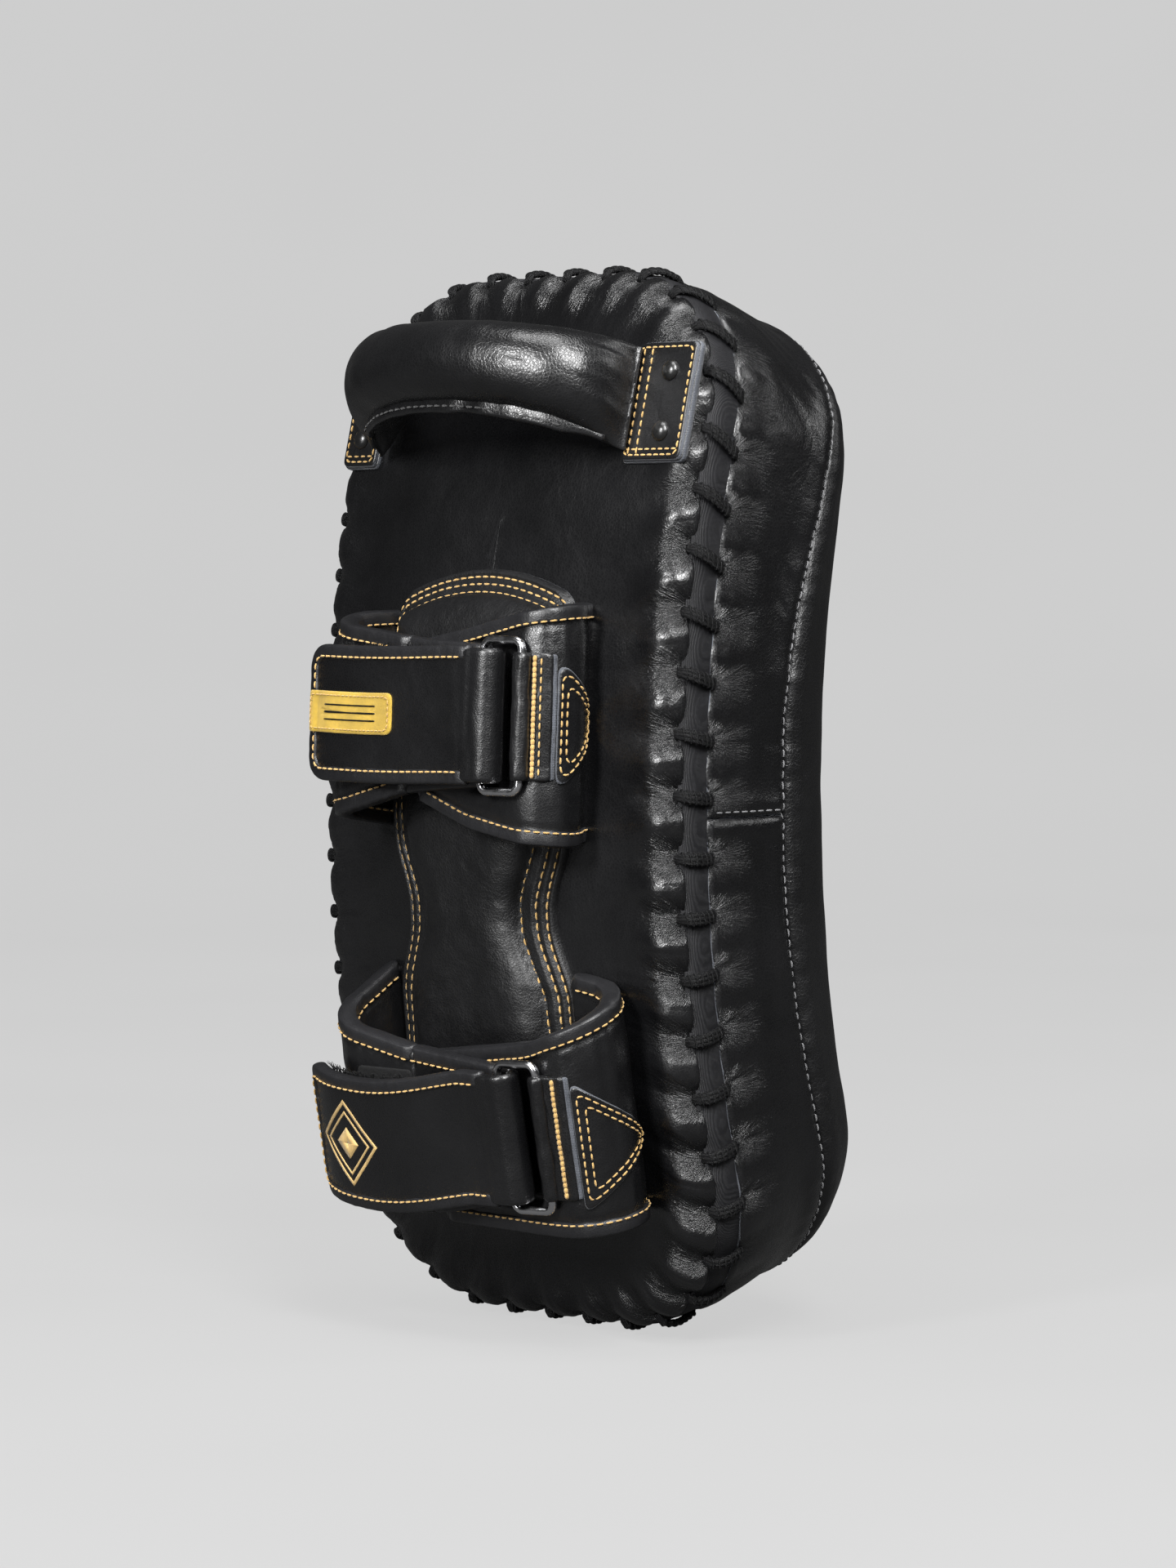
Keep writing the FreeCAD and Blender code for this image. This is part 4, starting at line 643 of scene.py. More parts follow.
def relief(turn, run):
    """Height off the plain form: pillows and puckers at the lacing, crowns, soft
    undulation and seam valleys."""
    turn, run = floats(turn, run)
    inset, depth, _, _ = profile(run)
    x, along, out_x, _ = outline(turn, inset)
    points = pad_point(x, along, depth) * 1000.0
    height = np.zeros_like(run)
    # lacing pillows and dents on the back edge; the folds are undefined off the edge,
    # where they are not used
    phase, wave, away = lace_phase(turn, 1), lace_wave(turn, 1), TAPE_BACK - run
    jitter = noise(coords(np.round(phase) * 7.3, 3.1), 5)
    pillow = ((1 - wave) * bell(away, 10.0, 10.0)
              * (2.45 - 0.7 * ease(98, 120, along) + 0.5 * jitter)
              * np.clip(0.45 + 0.9 * out_x, 0.35, 1.0))
    dent = wave ** 2 * np.exp(-(np.maximum(away - 2, 0) / 8.5) ** 1.4) * 2.2
    folds = hole_folds(phase, away, 9.0, [(5.6, 3.7, 11.1, 0.05, 9, 0.6),
                                          (12.0, 5.1, 7.7, 0.07, 29, 0.45)])
    height = np.where(away >= 0, height + pillow - dent + folds * 0.95, height)
    # the same on the gusset edge, shallower
    phase, wave, away = lace_phase(turn, -1), lace_wave(turn, -1), run - TAPE_FRONT
    pillow = (1 - wave) * bell(away, 6.0, 7.0) * 0.9
    dent = wave ** 3 * np.exp(-(np.maximum(away - 1.5, 0) / 5.0) ** 1.4) * 1.7
    folds = hole_folds(phase, away, 8.5, [(4.4, 2.9, 9.1, 0.05, 13, 0.85),
                                          (8.4, 4.4, 5.3, 0.07, 31, 0.4)])
    height = np.where((away >= 0) & (run < 90),
                      height + pillow - dent + folds * 0.75, height)
    # the tape band is sunk a little
    band = (run > TAPE_BACK - 0.3) & (run < TAPE_FRONT + 0.3)
    sunk = height - 0.9 - 0.35 * np.cos(2 * math.pi * lace_phase(turn, 1))
    height = np.where(band, sunk, height)
    # seam between gusset and strike panel
    seam = np.abs(run - SEAM_RUN - flare(turn))
    pucker = noise(coords(turn * AROUND / 5.0, seam * 0.12), 21)
    height = (height - 1.5 * bell(seam, 0, 1.5) + 1.0 * bell(seam, 6.0, 5.0) * (run < 120)
              + 0.40 * pucker * bell(seam, 0, 9.0))
    # joint between the gussets
    joint = np.abs(along - JOINT_ALONG)
    near = (run > TAPE_FRONT) & (run < SEAM_RUN) & (np.abs(out_x) > 0.8)
    height = np.where(near, height - bell(joint, 0, 1.2) + 0.5 * bell(joint, 5, 4.0), height)
    # crowns of the two faces
    height = np.where(run < -15, height + back_crown(inset, along), height)
    height = np.where(run > 60, height + 3.5 * ease(30, 95, inset), height)
    # bulge of the gusset and broad waves
    height = height + 1.3 * bell(run, 24, 16.0)
    height = (height + 0.75 * layered_noise(points / 42.0, 3, 3)
              + 0.22 * layered_noise(points / 14.0, 8, 2))
    # diagonal creases on the upper gusset
    z = points[..., 2]
    crease = noise(coords((z * 0.9 + run * 1.15) / 6.5, run / 60.0, z / 90.0), 41)
    zone = (ease(8, 18, run) * (1 - ease(40, 55, run)) * ease(40, 120, along)
            * (np.abs(out_x) > 0.5))
    return height - zone * 0.7 * np.abs(crease)


def plain_skin(turn, run, height):
    inset, depth, outward, inward = profile(run)
    x, along, out_x, out_along = outline(turn, inset)
    return pad_point(x + out_x * outward * height, along + out_along * outward * height,
                     depth + inward * height)


def skin(turn, run, extra=0.0):
    return plain_skin(turn, run, relief(turn, run) + extra)


# ------------------------------------------------------------ pad panels
def cap_faces(points, ring):
    """Close a long thin ring with strips across, working down from its highest point."""
    top = int(np.argmax(points[ring][:, 2]))
    ring = list(ring[top:]) + list(ring[:top])
    a, b = 1, len(ring) - 1
    faces = [(ring[0], ring[1], ring[-1])]
    while b - a > 1:
        if b - 1 > a + 1:
            faces.append((ring[a], ring[a + 1], ring[b - 1], ring[b]))
            b -= 1
        else:
            faces.append((ring[a], ring[a + 1], ring[b]))
        a += 1
    return faces


def panel(name, runs, columns, shift, side, hides, material=BODY_LEATHER, span=None,
          cap_row=None, edge=RAW_EDGE):
    """Leather panel with thickness. span limits it to part of the way round; cap_row is
    the row closed across the middle of a face."""
    closed = span is None
    first, last = span or (0.0, 1.0)
    turns = np.linspace(first, last, columns, endpoint=not closed)
    turn, run = np.meshgrid(turns, runs, indexing="ij")
    run = run + shift(turn, run)
    points = np.concatenate([skin(turn, run).reshape(-1, 3),
                             skin(turn, run, -PANEL_THICKNESS).reshape(-1, 3)])
    rows = len(runs)
    count = columns * rows
    faces = double_grid(columns, rows, closed)
    rims, caps = [], []
    for row in (0, rows - 1):
        ring = np.arange(columns) * rows + row
        if row == cap_row:
            caps = cap_faces(points, ring) + cap_faces(points, ring + count)
        else:
            rims += wall(ring, count, closed)
    if not closed:
        for column in (0, columns - 1):
            rims += wall(column * rows + np.arange(rows), count, closed)
    face_materials = [0] * len(faces) + [1 if edge else 0] * len(rims) + [0] * len(caps)
    ob = mesh_object(name, points, faces + rims + caps,
                     [material, edge] if edge else material, face_materials)
    # where each point lies about its nearest lacing hole
    phase = lace_phase(turn, side)
    sideways = (phase - np.round(phase)) * PITCH
    away = TAPE_BACK - run if side > 0 else run - TAPE_FRONT
    lace = np.stack([sideways, away, np.abs(sideways)], -1).reshape(-1, 3)
    attribute = ob.data.attributes.new("lace", "FLOAT_VECTOR", "POINT")
    attribute.data.foreach_set("vector", np.tile(lace, (2, 1)).astype(np.float32).ravel())
    register(ob, "pad_leather", *hides)


def back_shift(turn, run):
    return (-1.1 * lace_wave(turn, 1) + 0.4) * np.exp(-np.abs(run - TAPE_BACK) / 4.0)


def gusset_shift(turn, run):
    scallop = (0.9 * lace_wave(turn, -1) - 0.3) * np.exp(-np.abs(run - TAPE_FRONT) / 4.0)
    return scallop + flare(turn) * ((run - TAPE_FRONT) / (SEAM_RUN - TAPE_FRONT)) ** 1.4


def front_shift(turn, run):
    return flare(turn) * unit(1 - (run - SEAM_RUN) / (FLARE_END_RUN - SEAM_RUN))


def lacing_tape():
    """Cloth band under the lacing, filling the gap between the leather edges."""
    runs = np.linspace(TAPE_BACK - 2.0, TAPE_FRONT + 2.0, 12)
    turns = np.linspace(0, 1, PANEL_COLUMNS, endpoint=False)
    turn, run = np.meshgrid(turns, runs, indexing="ij")
    wobble = (0.25 * np.cos(2 * math.pi * (turn * LOOPS))
              + 0.2 * noise(coords(turn * AROUND / 9, run / 6), 77))
    points = [plain_skin(turn, run, height) for height in (-0.75 + wobble, -2.4)]
    rows = len(runs)
    faces = double_grid(PANEL_COLUMNS, rows, closed=True)
    for row in (0, rows - 1):
        faces += wall(np.arange(PANEL_COLUMNS) * rows + row, PANEL_COLUMNS * rows)
    ob = mesh_object("lacing_tape_cloth", np.concatenate(points), faces, TAPE_CLOTH)
    register(ob, "tape", "lacing_tape")


def joint_turn(side):
    """Turn at which the gusset joint crosses the +X (1) or -X (-1) side."""
    straight = HALF_LENGTH - CORNER_RADIUS
    part = (JOINT_ALONG + straight) / (2 * straight)
    if side > 0:
        return part * SIDE / AROUND
    return (SIDE + 2 * CORNER + END + (1 - part) * SIDE) / AROUND


def seam_threads():
    steps = (0.0006, 0.5)
    bag = Bag()
    turns = np.linspace(0, 1, 1400)
    stitch_on(bag, skin, turns, SEAM_RUN - 2.6 + flare(turns), 0.0, steps=steps,
              pitch=4.0, length=2.9, width=0.8)
    register(bag.build("gusset_seam_thread", GREY_THREAD), "cord")
    bag = Bag()
    runs = np.linspace(TAPE_FRONT + 3, SEAM_RUN - 4, 60)
    for turn in (RIGHT_JOINT, LEFT_JOINT):
        stitch_on(bag, skin, turn + 2.2 / AROUND, runs, 0.0, steps=steps,
                  pitch=3.8, length=2.8, width=0.75)
    register(bag.build("gusset_joint_thread", GREY_THREAD), "cord")


def lacing_loops():
    """At every stitch: three strands over the tape with a cord coiled round them."""
    bag = Bag()
    for k in range(LOOPS):
        centre = (k + 0.5) / LOOPS
        lean = float(slant(np.array(centre)))
        jitter = noise(np.array([[k * 3.3, 1.2, 0.4], [k * 2.1, 7.7, 3.0],
                                 [k * 5.9, 2.2, 9.1]]), 51)
        start, end = TAPE_BACK - 3.0 + 0.4 * jitter[0], TAPE_FRONT + 3.2 + 0.4 * jitter[1]

        def place(part, sideways, height):
            sideways = (part - 0.5) * lean + sideways + 0.5 * jitter[2]
            return plain_skin(centre + sideways / AROUND, start + (end - start) * part,
                              height)

        part = np.linspace(0, 1, 15)
        # straight over the tape, diving in at both holes
        lift = (1.05 * np.sin(math.pi * part) ** 0.5
                - 2.1 * (bell(part, 0, 0.07) + bell(1 - part, 0, 0.07)))
        for strand in (-1, 0, 1):
            spread = strand * 1.45 * (0.55 + 0.45 * np.sin(math.pi * part))
            height = lift - 0.1 + 0.25 * (strand == 0)
            points = place(part, spread, height)
            bag.add(*tube(points, 0.00100, 9,
                          normals=place(part, spread, height + 1) - points))
        part = np.linspace(0.10, 0.90, 120)
        angle = part * 8.0 * 2 * math.pi
        height = 1.05 * np.sin(math.pi * part) ** 0.5 - 0.1 + 1.12 * np.sin(angle)
        bag.add(*tube(place(part, 2.42 * np.cos(angle), height), 0.00042, 6))
    register(bag.build("lacing_cord_loops", CORD), "cord", "lacing_cord")


BACK_RUNS = np.concatenate([np.linspace(BACK_END_RUN, -60, 14)[:-1],
                            np.linspace(-60, -30, 16)[:-1],
                            np.linspace(-30, TAPE_BACK, 26)])
GUSSET_RUNS = np.linspace(TAPE_FRONT, SEAM_RUN - 0.15, 38)
FRONT_RUNS = np.concatenate([np.linspace(SEAM_RUN + 0.15, 60, 14)[:-1],
                             np.linspace(60, FLARE_END_RUN, 30)[:-1],
                             np.linspace(FLARE_END_RUN, FRONT_END_RUN, 12)])
RIGHT_JOINT, LEFT_JOINT = joint_turn(1), joint_turn(-1)
JOINT_GAP = 0.00015       # in turns, each side of the joint

panel("back_panel_leather", BACK_RUNS, PANEL_COLUMNS, back_shift, 1,
      ("back_panel", "back_foam"), cap_row=0)
lacing_tape()
panel("upper_gusset_leather", GUSSET_RUNS, 520, gusset_shift, -1, ("upper_gusset",),
      span=(RIGHT_JOINT + JOINT_GAP, LEFT_JOINT - JOINT_GAP))
panel("lower_gusset_leather", GUSSET_RUNS, 500, gusset_shift, -1, ("lower_gusset",),
      span=(LEFT_JOINT + JOINT_GAP, RIGHT_JOINT + 1 - JOINT_GAP))
panel("strike_panel_leather", FRONT_RUNS, PANEL_COLUMNS, front_shift, -1,
      ("strike_face_panel", "strike_foam", "core_foam"), material=STRIKE_LEATHER,
      cap_row=len(FRONT_RUNS) - 1, edge=None)
seam_threads()
lacing_loops()


# ------------------------------------------------------------ surfaces for sewn pieces
class Path:
    """Upright surface on a bent plan path in a tilted frame. Heading 0 is +X, 90 is away
    from the back. side 1 has its outer face on the right of the heading, -1 on the left.
    Bends are ("line", length) or ("arc", radius, degrees)."""

    def __init__(self, tilt, start, heading, bends, side=1):
        x, off = start
        heading = math.radians(heading)
        points, headings = [(x, off)], [heading]
        for kind, *size in bends:
            if kind == "line":
                length = size[0]
                count = max(2, int(length / 0.6))
                for k in range(1, count + 1):
                    points.append((x + math.cos(heading) * length * k / count,
                                   off + math.sin(heading) * length * k / count))
                    headings.append(heading)
            else:
                radius, turn = size[0], math.radians(size[1])
                count = max(4, int(radius * abs(turn) / 0.5))
                sign = 1 if turn > 0 else -1
                centre_x = x - math.sin(heading) * radius * sign
                centre_off = off + math.cos(heading) * radius * sign
                for k in range(1, count + 1):
                    angle = heading + turn * k / count
                    points.append((centre_x + math.sin(angle) * radius * sign,
                                   centre_off - math.cos(angle) * radius * sign))
                    headings.append(angle)
                heading += turn
            x, off = points[-1]
        self.points, self.headings = np.array(points), np.array(headings)
        self.lengths = lengths_along(self.points)
        self.length = float(self.lengths[-1])
        self.tilt, self.side = tilt, side

    def __call__(self, dist, z, height):
        dist, z, height = floats(dist, z, height)
        x = np.interp(dist, self.lengths, self.points[:, 0])
        off = np.interp(dist, self.lengths, self.points[:, 1])
        heading = np.interp(dist, self.lengths, self.headings)
        # beyond its ends the path carries straight on
        beyond = np.minimum(dist, 0) + np.maximum(dist - self.length, 0)
        cos, sin = np.cos(heading), np.sin(heading)
        return tilted_point(self.tilt, x + beyond * cos + sin * self.side * height,
                            off + beyond * sin - cos * self.side * height, z)


def back_surface(x, along, height):
    """On the crowned leather of the pad's back."""
    x, along, height = floats(x, along, height)
    inset = np.minimum(HALF_WIDTH - np.abs(x), HALF_LENGTH - np.abs(along))
    return pad_point(x, along, BACK_DEPTH - back_crown(inset, along) - height)


# ------------------------------------------------------------ sewn pieces
def sheet(name, surface, start, end, low, high, half, relief_of, rounded=(True, True)):
    """Closed padded sheet. low, high and half thickness are functions of distance;
    relief_of(dist, z, face) adds height, face 1 outer, -1 inner. rounded says which
    ends are rounded."""
    dists = np.linspace(start, end, max(6, int((end - start) / 1.1)))
    swell = np.ones(len(dists))
    arc = np.linspace(0, math.pi / 2, 4, endpoint=False)
    if rounded[0]:
        dists = np.concatenate([start - np.cos(arc), dists])
        swell = np.concatenate([np.sin(arc) * 0.95 + 0.05, swell])
    if rounded[1]:
        dists = np.concatenate([dists, end + np.cos(arc)[::-1]])
        swell = np.concatenate([swell, np.sin(arc)[::-1] * 0.95 + 0.05])
    bottom, top = low(dists)[:, None], high(dists)[:, None]
    swell = swell[:, None]
    thick = half(dists)[:, None] * swell
    round_ = np.minimum(thick, 2.5)
    rows = max(8, int(float(np.max(top - bottom)) / 1.3))
    flat = bottom + round_ + (top - bottom - 2 * round_) * np.linspace(0, 1, rows)
    turn = np.linspace(0, math.pi, 7)[1:-1]
    z = np.concatenate([flat, top - round_ + round_ * np.sin(turn), flat[:, ::-1],
                        bottom + round_ - round_ * np.sin(turn)], 1)
    face = np.concatenate([np.ones(rows), np.cos(turn), -np.ones(rows), -np.cos(turn)])
    dist = np.broadcast_to(dists[:, None], z.shape)
    raised = (relief_of(dist, z, 1) * unit(face) - relief_of(dist, z, -1) * unit(-face))
    points = surface(dist, z, thick * face + raised * swell)
    section = z.shape[1]
    faces = list(grid_faces(len(dists), section, close_rows=True))
    # end walls: strips between the two faces, then the two rounded edges
    for i in (0, len(dists) - 1):
        ring = list(range(i * section, (i + 1) * section))
        outer, top_edge = ring[:rows], ring[rows:rows + 5]
        inner, low_edge = ring[rows + 5:2 * rows + 5], ring[2 * rows + 5:]
        for k in range(rows - 1):
            faces.append((outer[k], outer[k + 1], inner[rows - 2 - k], inner[rows - 1 - k]))
        faces.append(tuple([outer[-1]] + top_edge + [inner[0]]))
        faces.append(tuple([inner[-1]] + low_edge + [outer[0]]))
    return mesh_object(name, points, faces, STRAP_LEATHER)


def binding(surface, edge, inward, width, half, over, waves, seed, relief_of=None):
    """Points and faces of tape folded over an edge. edge holds (dist, z) points, inward
    the directions into the piece, half the thickness folded over, over the tape's own."""
    edge, inward = np.asarray(edge, float), np.asarray(inward, float)
    count = len(edge)
    lengths = lengths_along(edge)
    outer = half + over
    turn = np.linspace(math.pi / 2, -math.pi / 2, 9)
    insets = [width, width - 0.35, width * 0.7, width * 0.35]
    heights = [outer - 0.75, outer - 0.12, outer + 0.05, outer + 0.02]
    insets = np.array(insets + list(0.2 - (over + 0.2) * np.cos(turn)) + insets[::-1])
    heights = np.array(heights + list(outer * np.sin(turn)) + [-h for h in heights[::-1]])
    wave = (noise(coords(lengths / 4.2, seed), seed) * waves)[:, None]
    ripple = (noise(coords(lengths / 2.3, seed * 2.0), seed + 1) * waves * 0.6)[:, None]
    inset = insets + wave * (insets > width * 0.5) - 0.4 * ripple * (insets < 0)
    from_end = np.minimum(np.arange(count), np.arange(count)[::-1])
    taper = unit(0.6 + from_end / 3.0 * 0.4)[:, None]
    height = heights * taper + (wave + ripple) * np.sign(heights) * 0.35
    place = edge[:, None, :] + inward[:, None, :] * inset[:, :, None]
    dist, z = place[..., 0], place[..., 1]
    if relief_of is not None:
        raised = np.where(height > 0, relief_of(dist, z, 1), -relief_of(dist, z, -1))
        height = height + raised * ease(-1, width, inset)
    section = len(insets)
    faces = list(grid_faces(count, section, close_rows=True))
    for i in (0, count - 1):
        a, b = i * section, (i + 1) * section - 1
        while b - a > 2:
            faces.append((a, a + 1, b - 1, b))
            a, b = a + 1, b - 1
        faces.append((a, a + 1, b))
    return surface(dist, z, height), faces


def shrink(shape, centre, inset, reach=None):
    """The shape scaled about its centre by an inset; reach is the centre's distance from
    the edge, by default half the shape's size each way."""
    shape, centre = np.asarray(shape, float), np.asarray(centre, float)
    reach = np.abs(shape - centre).max(0) if reach is None else reach
    return centre + (shape - centre) * ((reach - inset) / reach)


def looped(ring):
    return np.concatenate([ring, ring[:1]])


def slab_mesh(surface, shape, centre, top, relief_of, base=-0.4, step=1.4, reach=None):
    """Points and faces of a flat sewn-on piece. top(inset) is its height; base is the
    height of its underside."""
    shape, centre = np.asarray(shape, float), np.asarray(centre, float)
    limit = np.abs(shape - centre).max(0).min()
    insets = [0.0, 0.0, 0.25, 0.7] + list(np.arange(1.4, limit - 0.6, step))
    if reach is not None:
        insets = [inset for inset in insets if inset < reach - 0.3]
    rings = np.array([shrink(shape, centre, inset, reach) for inset in insets])
    heights = [np.full(len(shape), base)]
    for k, inset in enumerate(insets[1:], 1):
        rise = float(top(np.array(max(inset, 0.7)))) * {1: 0.55, 2: 0.88}.get(k, 1.0)
        heights.append(rise + relief_of(rings[k, :, 0], rings[k, :, 1]))
    count, around = len(insets), len(shape)
    last = (count - 1) * around
    points = surface(rings[..., 0], rings[..., 1], np.array(heights))
    points = np.concatenate([
        points.reshape(-1, 3),
        surface(*centre, float(heights[-1].mean())).reshape(1, 3),
        surface(*centre, base).reshape(1, 3)])
    faces = list(grid_faces(count, around, close_rows=True))
    for k in range(around):
        after = (k + 1) % around
        faces.append((last + k, last + after, count * around))
        faces.append((k, after, count * around + 1))
    return points, faces


def slab(name, material, surface, shape, *details, edge=None, **options):
    points, faces = slab_mesh(surface, shape, *details, **options)
    border = 2 * len(shape) if edge else 0
    return mesh_object(name, points, faces, [material, edge] if edge else material,
                       [1] * border + [0] * (len(faces) - border))


def closed_resample(points, step):
    ring = looped(points)
    lengths = lengths_along(ring)
    count = max(8, int(lengths[-1] / step))
    return sample(np.linspace(0, lengths[-1], count, endpoint=False), lengths, ring)


def rounded_rect(x0, x1, z0, z1, radius, step=1.0):
    points = []
    for x, z, first in ((x1 - radius, z0 + radius, -90), (x1 - radius, z1 - radius, 0),
                        (x0 + radius, z1 - radius, 90), (x0 + radius, z0 + radius, 180)):
        for angle in np.linspace(first, first + 90, max(4, int(radius * 1.6 / step) + 2)):
            angle = math.radians(angle)
            points.append((x + radius * math.cos(angle), z + radius * math.sin(angle)))
    return closed_resample(np.array(points), step)


def rounded_polygon(corners, radii, step):
    corners = np.asarray(corners, float)
    points = []
    for k, corner in enumerate(corners):
        before = corners[k - 1] - corner
        after = corners[(k + 1) % len(corners)] - corner
        size1, size2 = np.linalg.norm(before), np.linalg.norm(after)
        angle = math.acos(np.clip((before / size1) @ (after / size2), -1, 1))
        cut = min(radii[k] / math.tan(angle / 2), 0.48 * size1, 0.48 * size2)
        start, end = corner + before / size1 * cut, corner + after / size2 * cut
        for f in np.linspace(0, 1, 9):
            points.append((1 - f) ** 2 * start + 2 * f * (1 - f) * corner + f ** 2 * end)
    return closed_resample(np.array(points), step)


# ------------------------------------------------------------ forearm pad
# heights along the back
PAD_TOP, PAD_LOW = 74.0, -146.0
PAD_MIDDLE = (PAD_TOP + PAD_LOW) / 2


def pad_half_width(along):
    from_waist = np.abs(np.asarray(along, float) + 42.0)
    return 40.5 + 8.0 * ease(2, 32, from_waist) + 3.0 * ease(28, 100, from_waist)


def pad_waist(along):
    return unit(1 - np.abs((along - PAD_MIDDLE) / 110.0))


def pad_top(across):
    """Top edge at 0 (middle) to 1 (side) across: arched, with rounded corners."""
    return PAD_TOP + 12.0 * (1 - across ** 2) - 9.0 * unit((across - 0.80) / 0.20) ** 2.2


def pad_grooves(waist):
    """Insets of the three stitched grooves."""
    return 3.2, 6.0 + 2.0 * waist, 9.0 + 7.0 * waist


def pad_height(x, along, inset, waist):
    groove1, groove2, groove3 = pad_grooves(waist)
    points = pad_point(x, along, BACK_DEPTH) * 1000.0
    height = (2.9 * unit(inset / 0.9) ** 0.5
              + 0.9 * ease(groove1, groove1 + 1.2, inset)
              + 0.8 * ease(groove2, groove2 + 1.2, inset)
              + 8.2 * np.sqrt(dome(inset - groove3, 16.0)))
    height = (height - 0.75 * bell(inset, groove1, 0.9) - 0.8 * bell(inset, groove2, 0.9)
              - 0.9 * bell(inset, groove3, 1.0))
    wrinkle = layered_noise(points / 11.0, 61, 3)
    pucker = noise(coords(points[..., 2] / 5.5, points[..., 0] / 18.0), 63)
    return (height + 0.55 * wrinkle * unit(inset / 6.0)
            + 0.45 * pucker * bell(inset, groove3 + 3.5, 4.0))


def forearm_pad():
    columns, rows = 110, 210
    across = np.linspace(-1, 1, columns)
    across = np.sign(across) * (1 - (1 - np.abs(across)) ** 1.25)
    across, up = np.meshgrid(across, np.linspace(0, 1, rows), indexing="ij")
    aside = np.abs(across)
    top = pad_top(aside)
    low = PAD_LOW + 6.0 * unit((aside - 0.80) / 0.20) ** 2.2
    along = low + (top - low) * up
    x = across * pad_half_width(along)
    inset_x = pad_half_width(along) * (1 - aside)
    inset_z = np.minimum((1 - up) * (top - low), up * (top - low))
    corner = 14 - np.sqrt((14 - np.minimum(inset_x, 14)) ** 2
                          + (14 - np.minimum(inset_z, 14)) ** 2)
    inset = np.where((inset_x < 14) & (inset_z < 14), corner, np.minimum(inset_x, inset_z))
    inset = np.clip(inset, 0, None)
    height = pad_height(x, along, inset, pad_waist(along) * (inset_z > 20))
    points = np.concatenate([back_surface(x, along, height).reshape(-1, 3),
                             back_surface(x, along, -2.2).reshape(-1, 3)])
    faces = double_grid(columns, rows)
    ring = [i * rows for i in range(columns)]
    ring += [(columns - 1) * rows + j for j in range(1, rows)]
    ring += [i * rows + rows - 1 for i in range(columns - 2, -1, -1)]
    ring += list(range(rows - 2, 0, -1))
    rim = wall(ring, columns * rows)
    ob = mesh_object("forearm_pad_leather", points, faces + rim, [PANEL_LEATHER, RAW_EDGE],
                     [0] * len(faces) + [1] * len(rim))
    register(ob, "pad_leather", "forearm_pad_cover", "forearm_pad_foam")


def forearm_threads():
    """Rows in the three grooves, down both sides and across the top."""
    bag = Bag()
    for k in range(3):
        for side in (1, -1):
            along = np.linspace(PAD_LOW + 14, PAD_TOP - 12, 150)
            waist = pad_waist(along)
            groove = pad_grooves(waist)[k]
            x = side * (pad_half_width(along) - groove)
            height = pad_height(x, along, groove, waist) + 0.15
            stitch_on(bag, back_surface, x, along, height, **PAD_STITCH)
        groove = pad_grooves(0.0)[k]
        across = np.linspace(-1, 1, 120)
        x = across * (pad_half_width(PAD_TOP - 10) - groove)
        along = pad_top(np.abs(x) / pad_half_width(PAD_TOP)) - groove
        along = along - 7.0 * (np.clip(np.abs(across) - 0.93, 0, None) / 0.07) ** 2
        height = pad_height(x, along, groove, 0.0) + 0.15
        stitch_on(bag, back_surface, x, along, height, **PAD_STITCH)
    register(bag.build("forearm_pad_thread", GOLD_THREAD), "cord")


forearm_pad()
forearm_threads()

# ------------------------------------------------------------ handle
HANDLE_TILT = 13.7
# One half of the sleeve, from the middle out:
# x, distance off the back, half height, half depth, shift in z
SLEEVE_STATIONS = np.array([
    (0, 40.5, 15.5, 15.5, 0), (12, 39.9, 15.6, 15.6, 0), (24, 38.0, 15.8, 15.7, -0.3),
    (36, 34.0, 16.2, 15.7, -0.8), (48, 27.5, 16.9, 15.3, -1.8), (55, 21.2, 17.8, 14.0, -3.0),
    (59.5, 15.6, 18.8, 11.2, -4.2), (63, 10.0, 19.6, 6.4, -5.4), (65.5, 6.4, 20.0, 2.8, -6.2),
    (68, 4.8, 19.8, 1.0, -6.6)])
# Seam lip section: sideways, z
LIP_SECTION = np.array([(-1.4, 2.6), (-1.5, -1.0), (-1.3, -4.4), (-0.8, -5.3),
                        (0.8, -5.3), (1.3, -4.4), (1.5, -1.0), (1.4, 2.6)])
RIVET_X, RIVET_ZS = 83.0, (4.5, -18.5)
# Rivet turned profile, head to shank end: radius, height
RIVET_PROFILE = np.array([
    (0.05, 5.75), (1.2, 5.68), (2.3, 5.35), (3.2, 4.75), (3.85, 3.95), (4.05, 3.2),
    (3.7, 2.7), (1.7, 2.6), (1.6, 0.7), (0.05, 0.6)])


def handle_surface(x, z, height):
    return tilted_point(HANDLE_TILT, x, height, z)


def sleeve_spine():
    """Stations from end to end and, at each, the smoothed off, half height, half depth
    and z shift, then the outward direction's x and off parts."""
    x = np.linspace(-68, 68, 190)
    mirrored = SLEEVE_STATIONS[:0:-1] * [-1, 1, 1, 1, 1]
    keys = np.concatenate([mirrored, SLEEVE_STATIONS])
    off, half_height, half_depth, shift = [
        blur(np.interp(x, keys[:, 0], keys[:, k]), 2, 13) for k in range(1, 5)]
    slope = np.gradient(off, x)
    length = np.sqrt(1 + slope ** 2)
    return x, off, half_height, half_depth, shift, -slope / length, 1 / length


